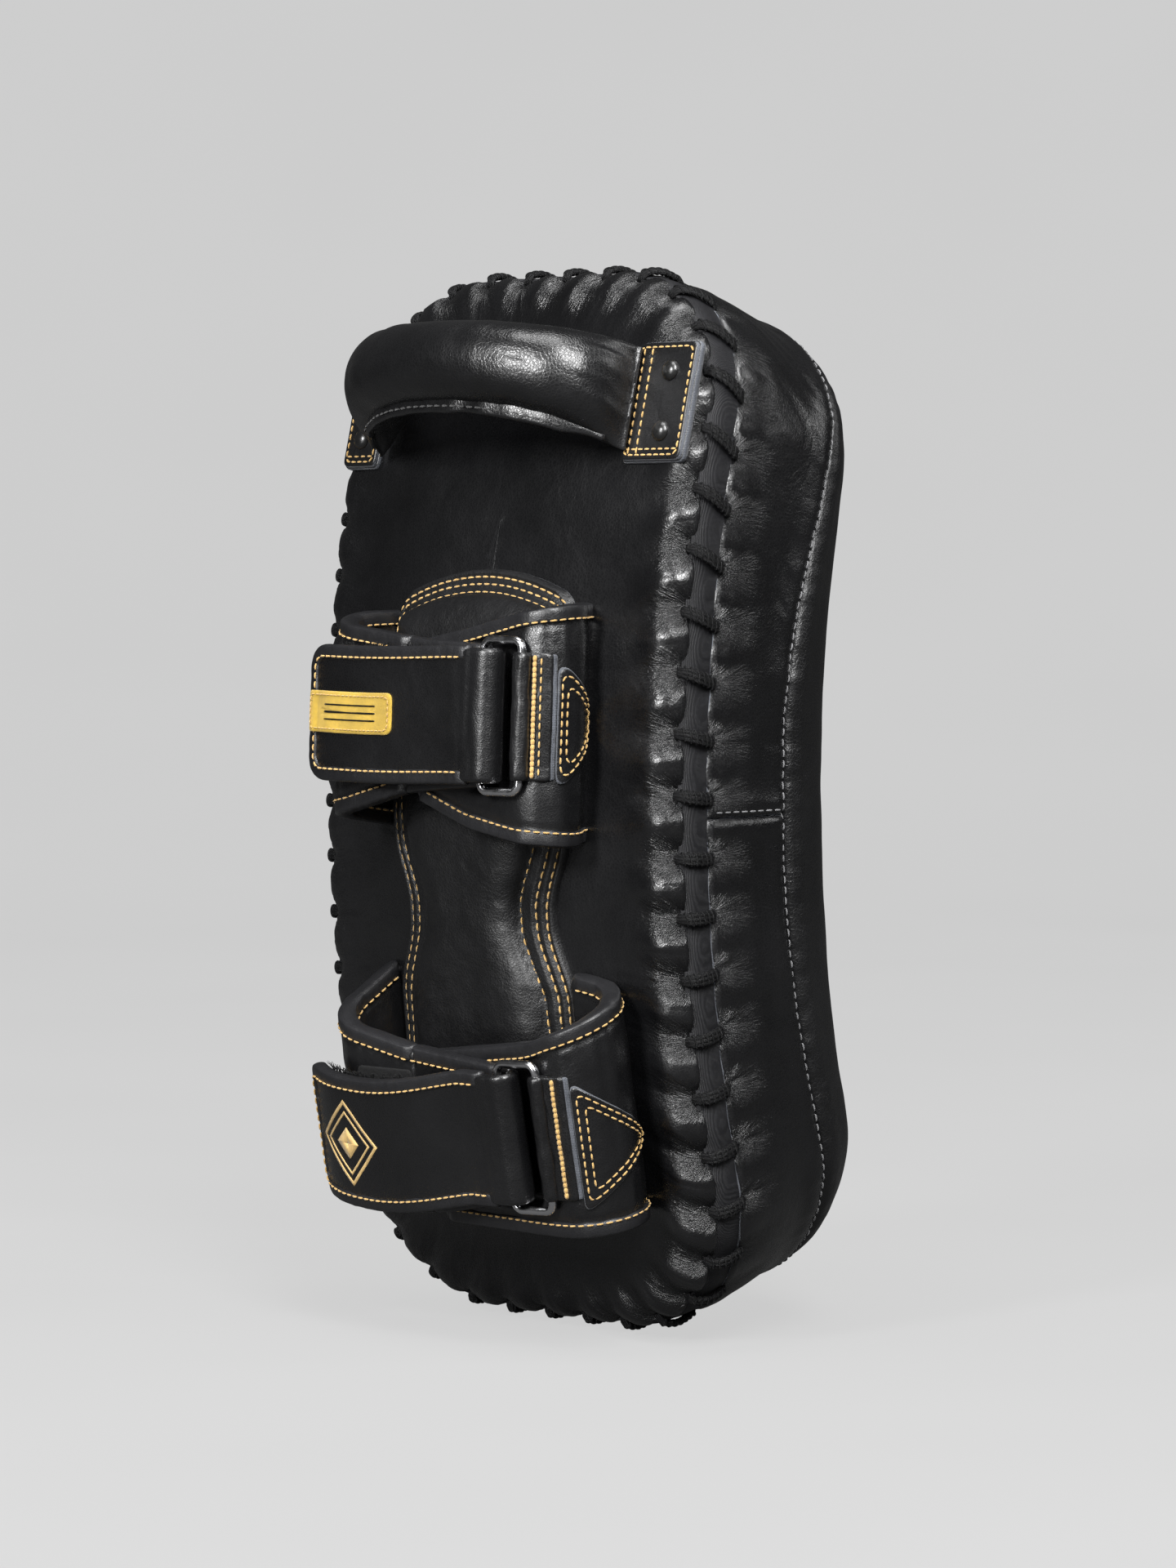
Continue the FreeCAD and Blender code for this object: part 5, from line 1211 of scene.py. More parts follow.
def sleeve(spine):
    """Bowed padded tube, flattening and puckering into the tabs."""
    x, off, half_height, half_depth, shift, out_x, out_off = [row[:, None] for row in spine]
    count, sides = len(x), 110
    angle, place = np.meshgrid(np.arange(sides) / sides * 2 * math.pi, spine[0])
    cos, sin = np.cos(angle), np.sin(angle)
    square_z = np.sign(sin) * np.abs(sin) ** 0.92
    square_off = np.sign(cos) * np.abs(cos) ** 0.92
    points = np.stack([place, half_depth * square_off + off, half_height * square_z], -1)
    pucker = (0.9 * noise(coords(angle * 3.4 + 2.0, place / 40.0), 71)
              + 0.6 * noise(coords(angle * 6.4 + 5.0, place / 26.0), 72))
    end = ease(52, 66, np.abs(place))
    raised = (0.5 * layered_noise(points / 20.0, 73, 2)
              + 0.07 * layered_noise(points / 6.0, 75, 2)
              + pucker * end * np.clip(half_depth / 7.0, 0.12, 1))
    # soft cross folds along the bow
    fold = noise(coords(place / 7.5, angle * 0.8), 79)
    raised = raised + 0.2 * fold * ease(0, 30, np.abs(place)) * (1 - end * 0.5)
    outward = half_depth * square_off + raised * cos
    z = shift + half_height * square_z + raised * sin
    points = handle_surface(x + out_x * outward, z, np.maximum(off + out_off * outward, 1.2))
    faces = list(grid_faces(count, sides, close_rows=True))
    for start in (0, (count - 1) * sides):
        for k in range(sides // 2 - 1):
            faces.append((start + k, start + k + 1,
                          start + sides - k - 2, start + sides - k - 1))
    ob = mesh_object("handle_sleeve_leather", points, faces, HANDLE_LEATHER)
    register(ob, "pad_leather", "handle_sleeve", "handle_core")


def sleeve_seam(spine):
    """Raised lip along the underside of the sleeve, stitched on both sides."""
    stations, off, half_height, _, shift, out_x, out_off = spine
    guide = np.stack([off, shift - half_height, out_x, out_off], -1)

    def place(x, sideways, rise):
        off, bottom, out_x, out_off = np.moveaxis(sample(x, stations, guide), -1, 0)
        return handle_surface(x + out_x * sideways, bottom + rise, off + out_off * sideways)

    x = np.linspace(-62, 62, 150)[:, None]
    fade = 1 - ease(50, 62, np.abs(x))
    wave = noise(coords(x / 9.0), 81)
    sideways, z = LIP_SECTION.T
    z = np.where(z > 0, z, z * (0.25 + 0.75 * fade) * (1 + 0.08 * wave))
    points = place(x, sideways + 2.0 + 0.5 * wave, 1.0 + z)
    lip = mesh_object("handle_sleeve_seam", points, barrel_faces(len(x), len(LIP_SECTION)),
                      HANDLE_LEATHER)
    register(lip, "pad_leather")
    bag = Bag()
    x = np.linspace(-52, 52, 120)
    for sideways, side in ((3.55, 1), (0.45, -1)):
        points = place(x, sideways, -2.2)
        stitch_row(bag, points, place(x, sideways + side, -2.2) - points,
                   pitch=4.0, length=3.0, width=0.8)
    register(bag.build("handle_seam_thread", DARK_THREAD), "cord")


def tab_relief(x, z):
    """Soft waves, pressed in round the rivets."""
    near = sum(np.exp(-((np.abs(x) - RIVET_X) ** 2 + (z - rivet_z) ** 2) / 26.0)
               for rivet_z in RIVET_ZS)
    return 0.16 * layered_noise(coords(x / 8.0, z / 8.0, 83), 83, 2) - 0.35 * near


def handle_tabs():
    """Two sewn layers at each end, with a raw edge between."""
    bag = Bag()
    bottom, top = -30.0, 16.0

    def stitch(line, height):
        stitch_line(bag, handle_surface, line, lambda x, z: height + tab_relief(x, z),
                    **SMALL_STITCH)

    for word, side, x0, x1 in (("right", 1, 63.0, 95.5), ("left", -1, 72.5, 92.5)):
        shape = rounded_rect(x0, x1, bottom, top, 2.6)
        if side < 0:
            shape = np.stack([-shape[:, 0], shape[:, 1]], -1)[::-1]
        centre = (side * (x0 + x1) / 2, (bottom + top) / 2)
        ob = slab("handle_tab_%s_base" % word, STRAP_LEATHER, handle_surface, shape, centre,
                  const(2.0), tab_relief, edge=RAW_EDGE)
        register(ob, "pad_leather")
        upper = shrink(shape, centre, 0.55)
        ob = slab("handle_tab_%s_leather" % word, STRAP_LEATHER, handle_surface, upper,
                  centre, lambda inset: 3.5 - 0.35 * bell(inset, 1.9, 0.7), tab_relief,
                  edge=RAW_EDGE, base=1.2)
        register(ob, "pad_leather", "handle_tab_%s" % word)
        stitch(looped(shrink(upper, centre, 1.9)), 3.25)
        # second row along the bottom, and on the right two more beside the sleeve
        stitch([(side * (x0 + 2.4), -25.4), (side * (x1 - 2.4), -25.4)], 3.25)
        if side > 0:
            for inset in (4.9, 9.2):
                stitch([(x0 + inset, -27.5), (x0 + inset, 13.5)], 3.4)
    register(bag.build("handle_tab_thread", GOLD_THREAD), "cord")


def handle_rivets():
    """Domed heads with shanks that end inside the tabs."""
    bag = Bag()
    sides, count = 40, len(RIVET_PROFILE)
    angle = np.linspace(0, 2 * math.pi, sides, endpoint=False)
    radius, height = RIVET_PROFILE[:, :1], RIVET_PROFILE[:, 1:]
    faces = [*grid_faces(count, sides, close_rows=True)[:, [0, 3, 2, 1]],
             tuple(range(sides)), tuple(range((count - 1) * sides, count * sides))]
    for side in (1, -1):
        for z in RIVET_ZS:
            bag.add(handle_surface(side * RIVET_X + radius * np.cos(angle),
                                   z + radius * np.sin(angle), height), faces)
    register(bag.build("handle_rivet_set", RIVET), "rivet", "handle_rivets")


SPINE = sleeve_spine()
sleeve(SPINE)
sleeve_seam(SPINE)
handle_tabs()
handle_rivets()

# ------------------------------------------------------------ cuffs
WING_HALF = 2.5           # half thickness of a wing
STRAP_HALF = 1.7          # half thickness of the folded strap
STRAP_WIDE = 25.0         # half width of the strap
FOLD_RADIUS = 4.6         # of the strap about the ring's bar
TAIL_CORNER = 8.5
KEEPER_HALF = 23.6        # half height of the keeper


def wing_relief(seed, low, high, fold, press):
    """Padding crown, broad waves and the folds that gather at distance fold[0]."""
    def relief_of(dist, z, face):
        dist, z = np.asarray(dist, float), np.asarray(z, float)
        bottom, wide = low(dist), high(dist) - low(dist)
        part = unit((z - bottom) / wide)
        inset = np.minimum(part, 1 - part) * wide
        waves = layered_noise(coords(dist / 14.0, z / 14.0, seed + face * 3.3), seed, 3)
        height = 1.1 * dome(inset, 18.0) + 0.55 * waves * unit(inset / 5.0)
        # dent along the binding stitches
        height = height - 0.45 * bell(inset, 5.6, 1.1)
        if press is not None and face > 0:
            # pressed flat where the folded strap bears on it
            start, end = press
            height = height - 3.0 * (ease(start - 4, start + 2, dist)
                                     * (1 - ease(end - 2, end + 5, dist))
                                     * (1 - ease(25.0, 30.0, np.abs(z))))
        # creases across the bend, deeper on the inner face, and puckers at the edges
        bend = bell(dist, *fold)
        crease = noise(coords(dist / 2.6, z / 28.0, seed), seed + 5)
        height = height + bend * (0.75 if face < 0 else 0.4) * crease * unit(inset / 6.0)
        pucker = noise(coords(dist / 2.0, 0.0, seed * 2.0), seed + 8)
        return height + bend * 0.5 * pucker * bell(inset, 0, 7.0)
    return relief_of


def wing(name, path, start, low, high, seed, fold, press=None):
    """Padded wing with bound edges. Returns its relief and a bag of its edge stitches."""
    end = path.length
    relief_of = wing_relief(seed, low, high, fold, press)
    ob = sheet(name + "_leather", path, start, end, low, high, const(WING_HALF), relief_of)
    register(ob, "strap_leather", name)
    tape = Bag()
    dists = np.linspace(start + 0.4, end - 0.2, int(end - start))
    for edge, inward, wave_seed in ((high, -1, seed), (low, 1, seed + 2)):
        tape.add(*binding(path, coords(dists, edge(dists) - inward * 0.3)[:, :2],
                          coords(0 * dists, inward)[:, :2], width=5.2, half=WING_HALF,
                          over=1.0, waves=0.3, seed=wave_seed,
                          relief_of=lambda *place: 0.35 * relief_of(*place)))
    register(tape.build(name + "_edge_tape", BINDING_LEATHER), "strap_leather",
             name + "_binding")
    stitches = Bag()
    dists = np.linspace(start + 2, end - 2, int(end - start))
    for edge, inward in ((high, -1), (low, 1)):
        for face in (1, -1):
            z = edge(dists) + inward * 4.1
            height = face * (WING_HALF + 1.15) + face * 0.35 * relief_of(dists, z, face)
            stitch_on(stitches, path, dists, z, height, face, lift=0.05, **EDGE_STITCH)
    return relief_of, stitches


def cuff_wings(cuff):
    """Ring wing on the +X side, strap wing on the -X side; adds their outer surfaces to
    the cuff."""
    ring_path = Path(cuff.tilt, cuff.ring_start, cuff.ring_heading, cuff.ring_bends)
    ring_relief, cuff.ring_stitches = wing(
        cuff.name + "_ring_wing", ring_path, cuff.ring_first, smooth_keys(*cuff.ring_low),
        smooth_keys(*cuff.ring_high), cuff.seed, cuff.ring_fold, cuff.press)
    strap_path = Path(cuff.tilt, cuff.strap_start, 90, cuff.strap_bends, side=-1)
    low, high = smooth_keys(*cuff.strap_low), smooth_keys(*cuff.strap_high)
    strap_relief, stitches = wing(cuff.name + "_strap_wing", strap_path, 0.0, low, high,
                                  cuff.seed + 20, cuff.strap_fold)
    register(stitches.build(cuff.name + "_strap_wing_thread", GOLD_THREAD), "cord")

    def on_ring_wing(dist, z, height):
        return ring_path(dist, z, WING_HALF + ring_relief(dist, z, 1) + height)

    def on_strap_wing(dist, z, height):
        return strap_path(dist, z, WING_HALF + strap_relief(dist, z, 1) + height)

    cuff.on_ring_wing, cuff.on_strap_wing = on_ring_wing, on_strap_wing
    cuff.wing_length = strap_path.length
    cuff.wing_low, cuff.wing_high = float(low(cuff.wing_length)), float(high(cuff.wing_length))


def ring_patch(cuff):
    """Three-cornered reinforcement on the ring wing."""
    shape = rounded_polygon(cuff.patch, cuff.patch_radii, step=0.9)
    ob = slab(cuff.name + "_ring_patch_leather", STRAP_LEATHER, cuff.on_ring_wing, shape,
              cuff.patch_centre,
              lambda inset: 1.35 - 0.3 * bell(inset, 1.7, 0.6) - 0.3 * bell(inset, 4.1, 0.6),
              lambda dist, z: 0.12 * layered_noise(coords(dist / 7, z / 7, 3),
                                                   cuff.seed + 3, 2),
              edge=RAW_EDGE, reach=cuff.patch_reach)
    register(ob, "strap_leather", cuff.name + "_ring_patch")
    for inset in cuff.patch_rows:
        ring = shrink(shape, cuff.patch_centre, inset, cuff.patch_reach)
        stitch_line(cuff.ring_stitches, cuff.on_ring_wing, looped(ring), 1.15,
                    **SMALL_STITCH)


def ring_keeper(cuff):
    """Leather loop closed round the ring's wire, its flap sewn back over the wing."""
    wire_x, wire_off = cuff.wire
    sides = 40
    z = np.linspace(-KEEPER_HALF, KEEPER_HALF, 60)[:, None]
    angle = np.arange(sides) / sides * 2 * math.pi
    cos, sin = np.cos(angle), np.sin(angle)
    swell = np.ones_like(z)
    swell[:3, 0] = 0.80, 0.93, 0.985
    swell[-3:, 0] = 0.985, 0.93, 0.80
    radius = 3.45 * swell + noise(coords(z / 9.0, 1.0 + cuff.seed), 91) * 0.25
    crease = 0.18 * noise(coords(angle * 2.2, z / 5.0), 92 + cuff.seed)
    # a little wider than deep, leaning on the wing below
    x = wire_x + radius * cos * 1.08 + 0.1 + crease * cos
    off = wire_off + radius * sin * 0.98 - 0.5 * unit(-sin) + crease * sin
    bag = Bag()
    bag.add(tilted_point(cuff.tilt, x, off, z), barrel_faces(len(z), sides))
    raw, root = cuff.flap_raw, cuff.flap_root
    bag.add(*slab_mesh(
        cuff.on_ring_wing, rounded_rect(raw, root, -KEEPER_HALF, KEEPER_HALF, 1.2, step=0.9),
        ((raw + root) / 2, 0.0), const(1.75),
        lambda dist, z: (0.15 * layered_noise(coords(dist / 5, z / 8), 93, 2)
                         + 0.9 * ease(root - 5.5, root - 1, dist))))
    register(bag.build(cuff.name + "_ring_keeper_leather", STRAP_LEATHER), "strap_leather",
             cuff.name + "_ring_keeper")
    # raw light edge of the flap
    ob = slab(cuff.name + "_ring_keeper_edge", RAW_EDGE, cuff.on_ring_wing,
              rounded_rect(raw - 1.0, raw + 1.1, -23.2, 23.2, 0.5, step=0.8),
              (raw + 0.05, 0.0), const(1.25),
              lambda dist, z: 0.12 * noise(coords(dist, z / 1.7), 94), step=0.4)
    register(ob, "strap_leather")
    # heavy overstitching beside the loop and a lighter row near the raw edge
    stitch_line(cuff.ring_stitches, cuff.on_ring_wing,
                [(cuff.heavy_row, -22.4), (cuff.heavy_row, 22.4)], 1.95,
                pitch=2.0, length=2.3, width=1.7, high=0.6)
    stitch_line(cuff.ring_stitches, cuff.on_ring_wing,
                [(raw + 3.2, -22.0), (raw + 3.2, 22.0)], 1.85, **SMALL_STITCH)
    register(cuff.ring_stitches.build(cuff.name + "_ring_wing_thread", GOLD_THREAD), "cord")


def strap_surfaces(cuff):
    """Adds the strap's path, its tail surface and its tail relief to the cuff. The strap
    runs under the ring's bar, folds about it and comes back as the tail."""
    fold_x = cuff.bar_x + 2.5
    curl, curl_radius = cuff.tail_curl
    inner = fold_x - cuff.inner_x
    path = Path(cuff.tilt, (cuff.inner_x, cuff.bar_off - FOLD_RADIUS), 0,
                [("line", inner), ("arc", FOLD_RADIUS, 180),
                 ("line", fold_x - cuff.tail_end_x - curl),
                 ("arc", curl_radius, math.degrees(curl / curl_radius))])
    fold_end = inner + math.pi * FOLD_RADIUS

    def tail_surface(dist, z, height):
        """The strap path with the tail's own sag, bow and droop."""
        part = unit((np.asarray(dist, float) - fold_end) / (path.length - fold_end))
        part = unit((part - 0.15) / 0.85)
        fall = (cuff.sag * np.sin(math.pi * unit(part * 0.95)) ** 1.2
                + cuff.droop * part ** 1.5)
        bow = cuff.bow * np.sin(math.pi * part) ** 1.1
        return path(dist, np.asarray(z, float) - fall, np.asarray(height, float) + bow)

    def tail_relief(dist, z, face):
        dist, z = np.asarray(dist, float), np.asarray(z, float)
        inset = STRAP_WIDE - np.abs(z)
        padding = 0.55 * dome(inset, 8.0) * ease(fold_end + 3, fold_end + 14, dist)
        waves = layered_noise(coords(dist / 16.0, z / 16.0, cuff.seed + face),
                              cuff.seed + 33, 3)
        height = 0.30 * waves * unit(inset / 4.0) + padding * (0.9 if face > 0 else 0.1)
        if face > 0:
            # ridges and creases beside the fold about the bar
            ridge = (bell(dist, fold_end + 4.0, 2.0) - 0.8 * bell(dist, fold_end + 8.6, 1.8)
                     + 0.6 * bell(dist, fold_end + 13.0, 2.6))
            crease = (noise(coords(dist / 2.2, z / 20.0, 4.0), cuff.seed + 35)
                      * bell(dist, fold_end + 4, 9.0))
            height = (height + cuff.ridges * 0.30 * ridge + 0.22 * crease
                      + (0.45 + 0.35 * cuff.ridges)
                      * bell(dist, fold_end + 8.0, 11.0 - 4.5 * cuff.ridges))
        return height

    cuff.strap_path, cuff.tail_surface, cuff.tail_relief = path, tail_surface, tail_relief
    cuff.fold_x, cuff.fold_start, cuff.fold_end = fold_x, inner, fold_end
    cuff.tail_length = path.length


def strap_inner(cuff):
    """Inner run of the strap, from the strap wing to the bar."""
    path, fold = cuff.strap_path, cuff.fold_start
    keys = [0, 10, fold - 6, fold + 4]
    high = smooth_keys(keys, [cuff.wing_high, cuff.wing_high - 1, 25.5, STRAP_WIDE])
    low = smooth_keys(keys, [cuff.wing_low, cuff.wing_low + 1, -25.5, -STRAP_WIDE])
    off = cuff.bar_off - FOLD_RADIUS
    blend_start = tuple(tilted_point(cuff.tilt, cuff.bar_x - 30.0, off, 0.0))
    blend_end = tuple(tilted_point(cuff.tilt, cuff.bar_x, off, 0.0))

    def register_inner(ob):
        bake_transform(ob)

    def inner_relief(dist, z, face):
        waves = layered_noise(coords(dist / 16.0, z / 16.0, face), cuff.seed + 37, 2)
        return 0.2 * waves * unit((24 - np.abs(z)) / 4.0)

    ob = sheet(cuff.name + "_strap_inner_leather", path, 0.0, fold - 0.02, low, high,
               smooth_keys([0, fold - 12, fold - 2], [2.4, 2.3, STRAP_HALF]),
               inner_relief, rounded=(True, False))
    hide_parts(cuff.name + "_strap_inner")
    register_inner(ob)
    tape, stitches = Bag(), Bag()
    dists = np.arange(-0.8, fold - 5.0, 1.0)
    for edge, inward in ((high, -1), (low, 1)):
        tape.add(*binding(path, coords(dists, edge(dists) - inward * 0.3)[:, :2],
                          coords(0 * dists, inward)[:, :2], width=5.0, half=2.35,
                          over=0.95, waves=0.25, seed=cuff.seed + 12 + inward))
        for face in (-1, 1):
            stitch_on(stitches, path, dists, edge(dists) + inward * 4.1, face * 3.4, face,
                      **EDGE_STITCH)
    register_inner(tape.build(cuff.name + "_strap_inner_edge_tape", BINDING_LEATHER))
    register_inner(stitches.build(cuff.name + "_strap_inner_thread", GOLD_THREAD))


def tail_leather(cuff):
    """The fold about the bar and the tail, as one sheet."""
    length = cuff.tail_length

    def high(dist):
        past = unit((np.asarray(dist, float) - (length - TAIL_CORNER)) / TAIL_CORNER)
        return STRAP_WIDE - TAIL_CORNER * (1 - np.sqrt(unit(1 - past ** 2)))

    ob = sheet(cuff.name + "_strap_tail_leather", cuff.tail_surface, cuff.fold_start,
               length - 0.3, lambda dist: -high(dist), high, const(STRAP_HALF),
               cuff.tail_relief, rounded=(False, True))
    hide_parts(cuff.name + "_strap_fold", cuff.name + "_strap_tail")
    # the blend runs across the fold only: its axis leans along the strap, so the
    # ends of an axis across the fold that leans along the strap, so the whole tail lies past
    # its far end; they are computed but not used, and no blend is made
    reach = 1.96 * FOLD_RADIUS - 1.2
    off = cuff.bar_off - FOLD_RADIUS + 0.4
    start = tilted_point(cuff.tilt, cuff.fold_x, off, 0.0)
    end = tilted_point(cuff.tilt, cuff.fold_x - 0.196 * reach, off + 0.98 * reach, 0.0)
    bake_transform(ob)


def tail_edge(cuff):
    """Tape along the tail's bottom edge, round its end and back along the top."""
    surface, relief_of = cuff.tail_surface, cuff.tail_relief
    length = cuff.tail_length
    corner_z = STRAP_WIDE - TAIL_CORNER

    def line(dist, z, inward):
        points = coords(dist, z)[:, :2]
        return points, np.broadcast_to(np.array(inward, float), points.shape)

    def corner(first, z):
        angle = np.radians(np.linspace(first, first + 90, 16))
        out = np.stack([np.cos(angle), np.sin(angle)], -1)
        return np.array([length - TAIL_CORNER, z]) + TAIL_CORNER * out, -out

    straight = np.arange(cuff.fold_end + cuff.tape_start, length - TAIL_CORNER, 1.0)
    edge, inward = [np.concatenate(parts) for parts in zip(
        line(straight, -STRAP_WIDE, (0, 1)), corner(-90, -corner_z),
        line(length, np.arange(-corner_z + 1, corner_z, 1.0), (-1, 0)),
        corner(0, corner_z), line(straight[::-1], STRAP_WIDE, (0, -1)))]
    bag = Bag()
    bag.add(*binding(surface, edge, inward, width=4.6, half=STRAP_HALF, over=0.95,
                     waves=0.25, seed=cuff.seed + 9,
                     relief_of=lambda *place: 0.3 * relief_of(*place)))
    register(bag.build(cuff.name + "_strap_tail_edge_tape", BINDING_LEATHER),
             "strap_leather", ride=cuff.name + "_tail")
    bag = Bag()
    row = (edge + inward * 3.7)[3:-3]
    height = STRAP_HALF + 0.95
    stitch_line(bag, surface, row,
                lambda dist, z: height + 0.3 * relief_of(dist, z, 1) + 0.05, **TAIL_STITCH)
    stitch_on(bag, surface, row[:, 0], row[:, 1], -height, -1, **TAIL_STITCH)
    register(bag.build(cuff.name + "_strap_tail_thread", GOLD_THREAD), "cord",
             ride=cuff.name + "_tail")


def hook_and_loop(cuff):
    """Patch under the tail, patch on the strap wing's face, and loose fibres that stand
    along the upper edge of the first."""
    end, tail = cuff.tail_length, cuff.name + "_tail"

    def under(dist, z, height):
        return cuff.tail_surface(dist, z, -(STRAP_HALF + 0.1) - height)

    ob = slab(cuff.name + "_hook_patch_cloth", PILE, under,
              rounded_rect(end - 58, end - 8, -20.5, 20.5, 2.0), (end - 33, 0.0),
              const(0.75), lambda dist, z: 0.16 * noise(coords(dist / 0.9, z / 0.9), 95),
              step=1.0)
    register(ob, "hook_loop", cuff.name + "_hook_patch", ride=tail)
    last = cuff.wing_length - 0.5
    ob = slab(cuff.name + "_loop_patch_cloth", PILE, cuff.on_strap_wing,
              rounded_rect(last - 30, last, -22, 22, 2.0), (last - 15, 0.0),
              const(0.8), lambda dist, z: 0.18 * noise(coords(dist / 0.8, z / 0.8), 96),
              step=1.0)
    register(ob, "hook_loop", cuff.name + "_loop_patch")
    bag = Bag()
    random = np.random.default_rng(7 + cuff.seed)
    place = cuff.tail_surface
    for _ in range(cuff.fibres):
        dist = end - 12 - random.random() * 46
        z = STRAP_WIDE + 0.2
        lean, curl = random.normal(0, 1.3), random.normal(0, 1.0)
        points = np.array([
            place(dist, z - 3.5, -(STRAP_HALF + 1.4)),
            place(dist + lean * 0.4, z - 0.5, -(STRAP_HALF + 1.7 + abs(curl) * 0.3)),
            place(dist + lean, z + 0.9 + random.random() * 1.3,
                  -(STRAP_HALF + 1.2) + curl * 0.6),
            place(dist + lean * 1.8, z + 0.4 + random.random() * 2.2,
                  -(STRAP_HALF + 0.6) + curl)])
        bag.add(*tube(points, np.array([0.16, 0.15, 0.12, 0.07]) * 0.001, 4))
    register(bag.build(cuff.name + "_pile_fibres", PILE), "hook_loop", ride=tail)


def build_cuff(cuff):
    cuff_wings(cuff)
    ring_patch(cuff)
    ring_keeper(cuff)
    strap_surfaces(cuff)
    strap_inner(cuff)
    tail_leather(cuff)
    tail_edge(cuff)
    hook_and_loop(cuff)
    # the frame's own wire ring stays
    materials = frame["nodes"][cuff.name + "_ring"].data.materials
    materials.clear()
    materials.append(WIRE)


# Starts, wire and bar are (x, off) in the cuff's frame. Low and high are edge heights:
# distances along the wing, then z. Folds are (distance, width). The patch, its rows, the
# flap and the heavy row lie on the ring wing's face, as (distance, z).
UPPER = SimpleNamespace(
    name="upper", tilt=2.8, seed=101,
    ring_start=(53.0, 0.0), ring_heading=90, ring_first=-1.5,
    ring_bends=[("arc", 12.0, -45), ("arc", 11.0, 135), ("line", 54.0)],
    ring_low=([0, 18, 34, 62, 90], [-45, -47, -46, -41, -31]),
    ring_high=([0, 18, 34, 62, 90], [42, 41, 38, 32, 27]),
    ring_fold=(22.0, 12.0), press=(38.0, 58.0),
    strap_start=(-52.2, 0.0),
    strap_bends=[("line", 20.5), ("arc", 11.2, -90), ("line", 33.0)],
    strap_low=([0, 20, 38, 71], [-42, -40, -37, -28.5]),
    strap_high=([0, 20, 38, 71], [39, 37.5, 32, 28.0]),
    strap_fold=(28.0, 14.0),
    flap_raw=24.6, flap_root=34.2, heavy_row=29.4, wire=(53.0, 33.2),
    patch=[(2.6, -1.0), (23.4, 22.0), (23.4, -28.5)], patch_radii=[14, 3, 3],
    patch_centre=(15.6, -2.8), patch_reach=7.9, patch_rows=(1.2, 2.9),
    bar_x=35.174, bar_off=35.7, tail_end_x=-55.0, inner_x=-8.6, tape_start=5.0,
    tail_curl=(14.0, 60.0),   # length, radius
    sag=0.8, bow=0.8, droop=0.0, ridges=0.0, fibres=60)
LOWER = SimpleNamespace(
    name="lower", tilt=-10.1, seed=151,
    ring_start=(50.5, 3.1), ring_heading=0, ring_first=0.0,
    ring_bends=[("line", 12.0), ("arc", 14.5, 180), ("line", 67.0)],
    ring_low=([0, 14, 36, 66, 125], [-36, -36, -37, -38, -37]),
    ring_high=([0, 14, 36, 66, 125], [53, 51, 44.5, 34, 27]),
    ring_fold=(34.0, 16.0), press=(67.0, 90.0),
    strap_start=(-54.5, 0.0),
    strap_bends=[("line", 20.0), ("arc", 16.5, -90), ("line", 31.0)],
    strap_low=([0, 20, 46, 77], [-38, -37, -35, -33]),
    strap_high=([0, 20, 46, 77], [52, 44, 35.5, 29.5]),
    strap_fold=(32.0, 18.0),
    flap_raw=51.2, flap_root=60.0, heavy_row=54.6, wire=(59.0, 37.9),
    patch=[(21.5, -5.0), (50.0, 21.5), (50.0, -29.0)], patch_radii=[2.0, 2.0, 2.0],
    patch_centre=(38.6, -4.4), patch_reach=11.0, patch_rows=(1.7, 3.8),
    bar_x=41.189, bar_off=40.5, tail_end_x=-66.0, inner_x=-7.6, tape_start=6.0,
    tail_curl=(26.0, 42.0),
    sag=5.5, bow=2.5, droop=2.5, ridges=0.7, fibres=110)

build_cuff(UPPER)
build_cuff(LOWER)


# ------------------------------------------------------------ label and print
def upper_label():
    """Plain woven label with a stitched border and three bars."""
    length = UPPER.tail_length

    def surface(dist, z, height):
        top = (STRAP_HALF + UPPER.tail_relief(dist, z, 1)
               + 0.95 * ease(length - 6.2, length - 4.4, dist))
        return UPPER.tail_surface(dist, z, top + height)

    end = length - 1.6
    start = end - 47.0
    middle = (start + end) / 2
    shape = rounded_polygon([(start, -7.6), (end, -7.6), (end, 8.2), (start, 8.2)],
                            [3.4, 1.0, 1.0, 3.4], step=0.8)
    ob = slab("upper_label_cloth", LABEL, surface, shape, (middle, 0.3), const(0.75),
              lambda dist, z: 0.05 * noise(coords(dist / 1.1, z / 1.1), 97), step=0.9)
    register(ob, "label", "upper_label", ride="upper_tail")
    bag = Bag()
    stitch_line(bag, surface, looped(shrink(shape, (middle, 0.3), 1.5)), 0.75,
                pitch=2.2, length=1.7, width=0.55)
    register(bag.build("upper_label_thread", GOLD_THREAD), "cord", ride="upper_tail")
    bag = Bag()
    for z in (-2.5, 0.3, 3.1):
        bar = rounded_rect(start + 8.5, end - 8.5, z - 0.5, z + 0.5, 0.4, step=0.7)
        bag.add(*slab_mesh(surface, bar, (middle, z), const(0.95),
                           lambda dist, z: 0 * dist, base=0.5, step=0.4))
    register(bag.build("upper_label_bars", PANEL_LEATHER), "label", ride="upper_tail")


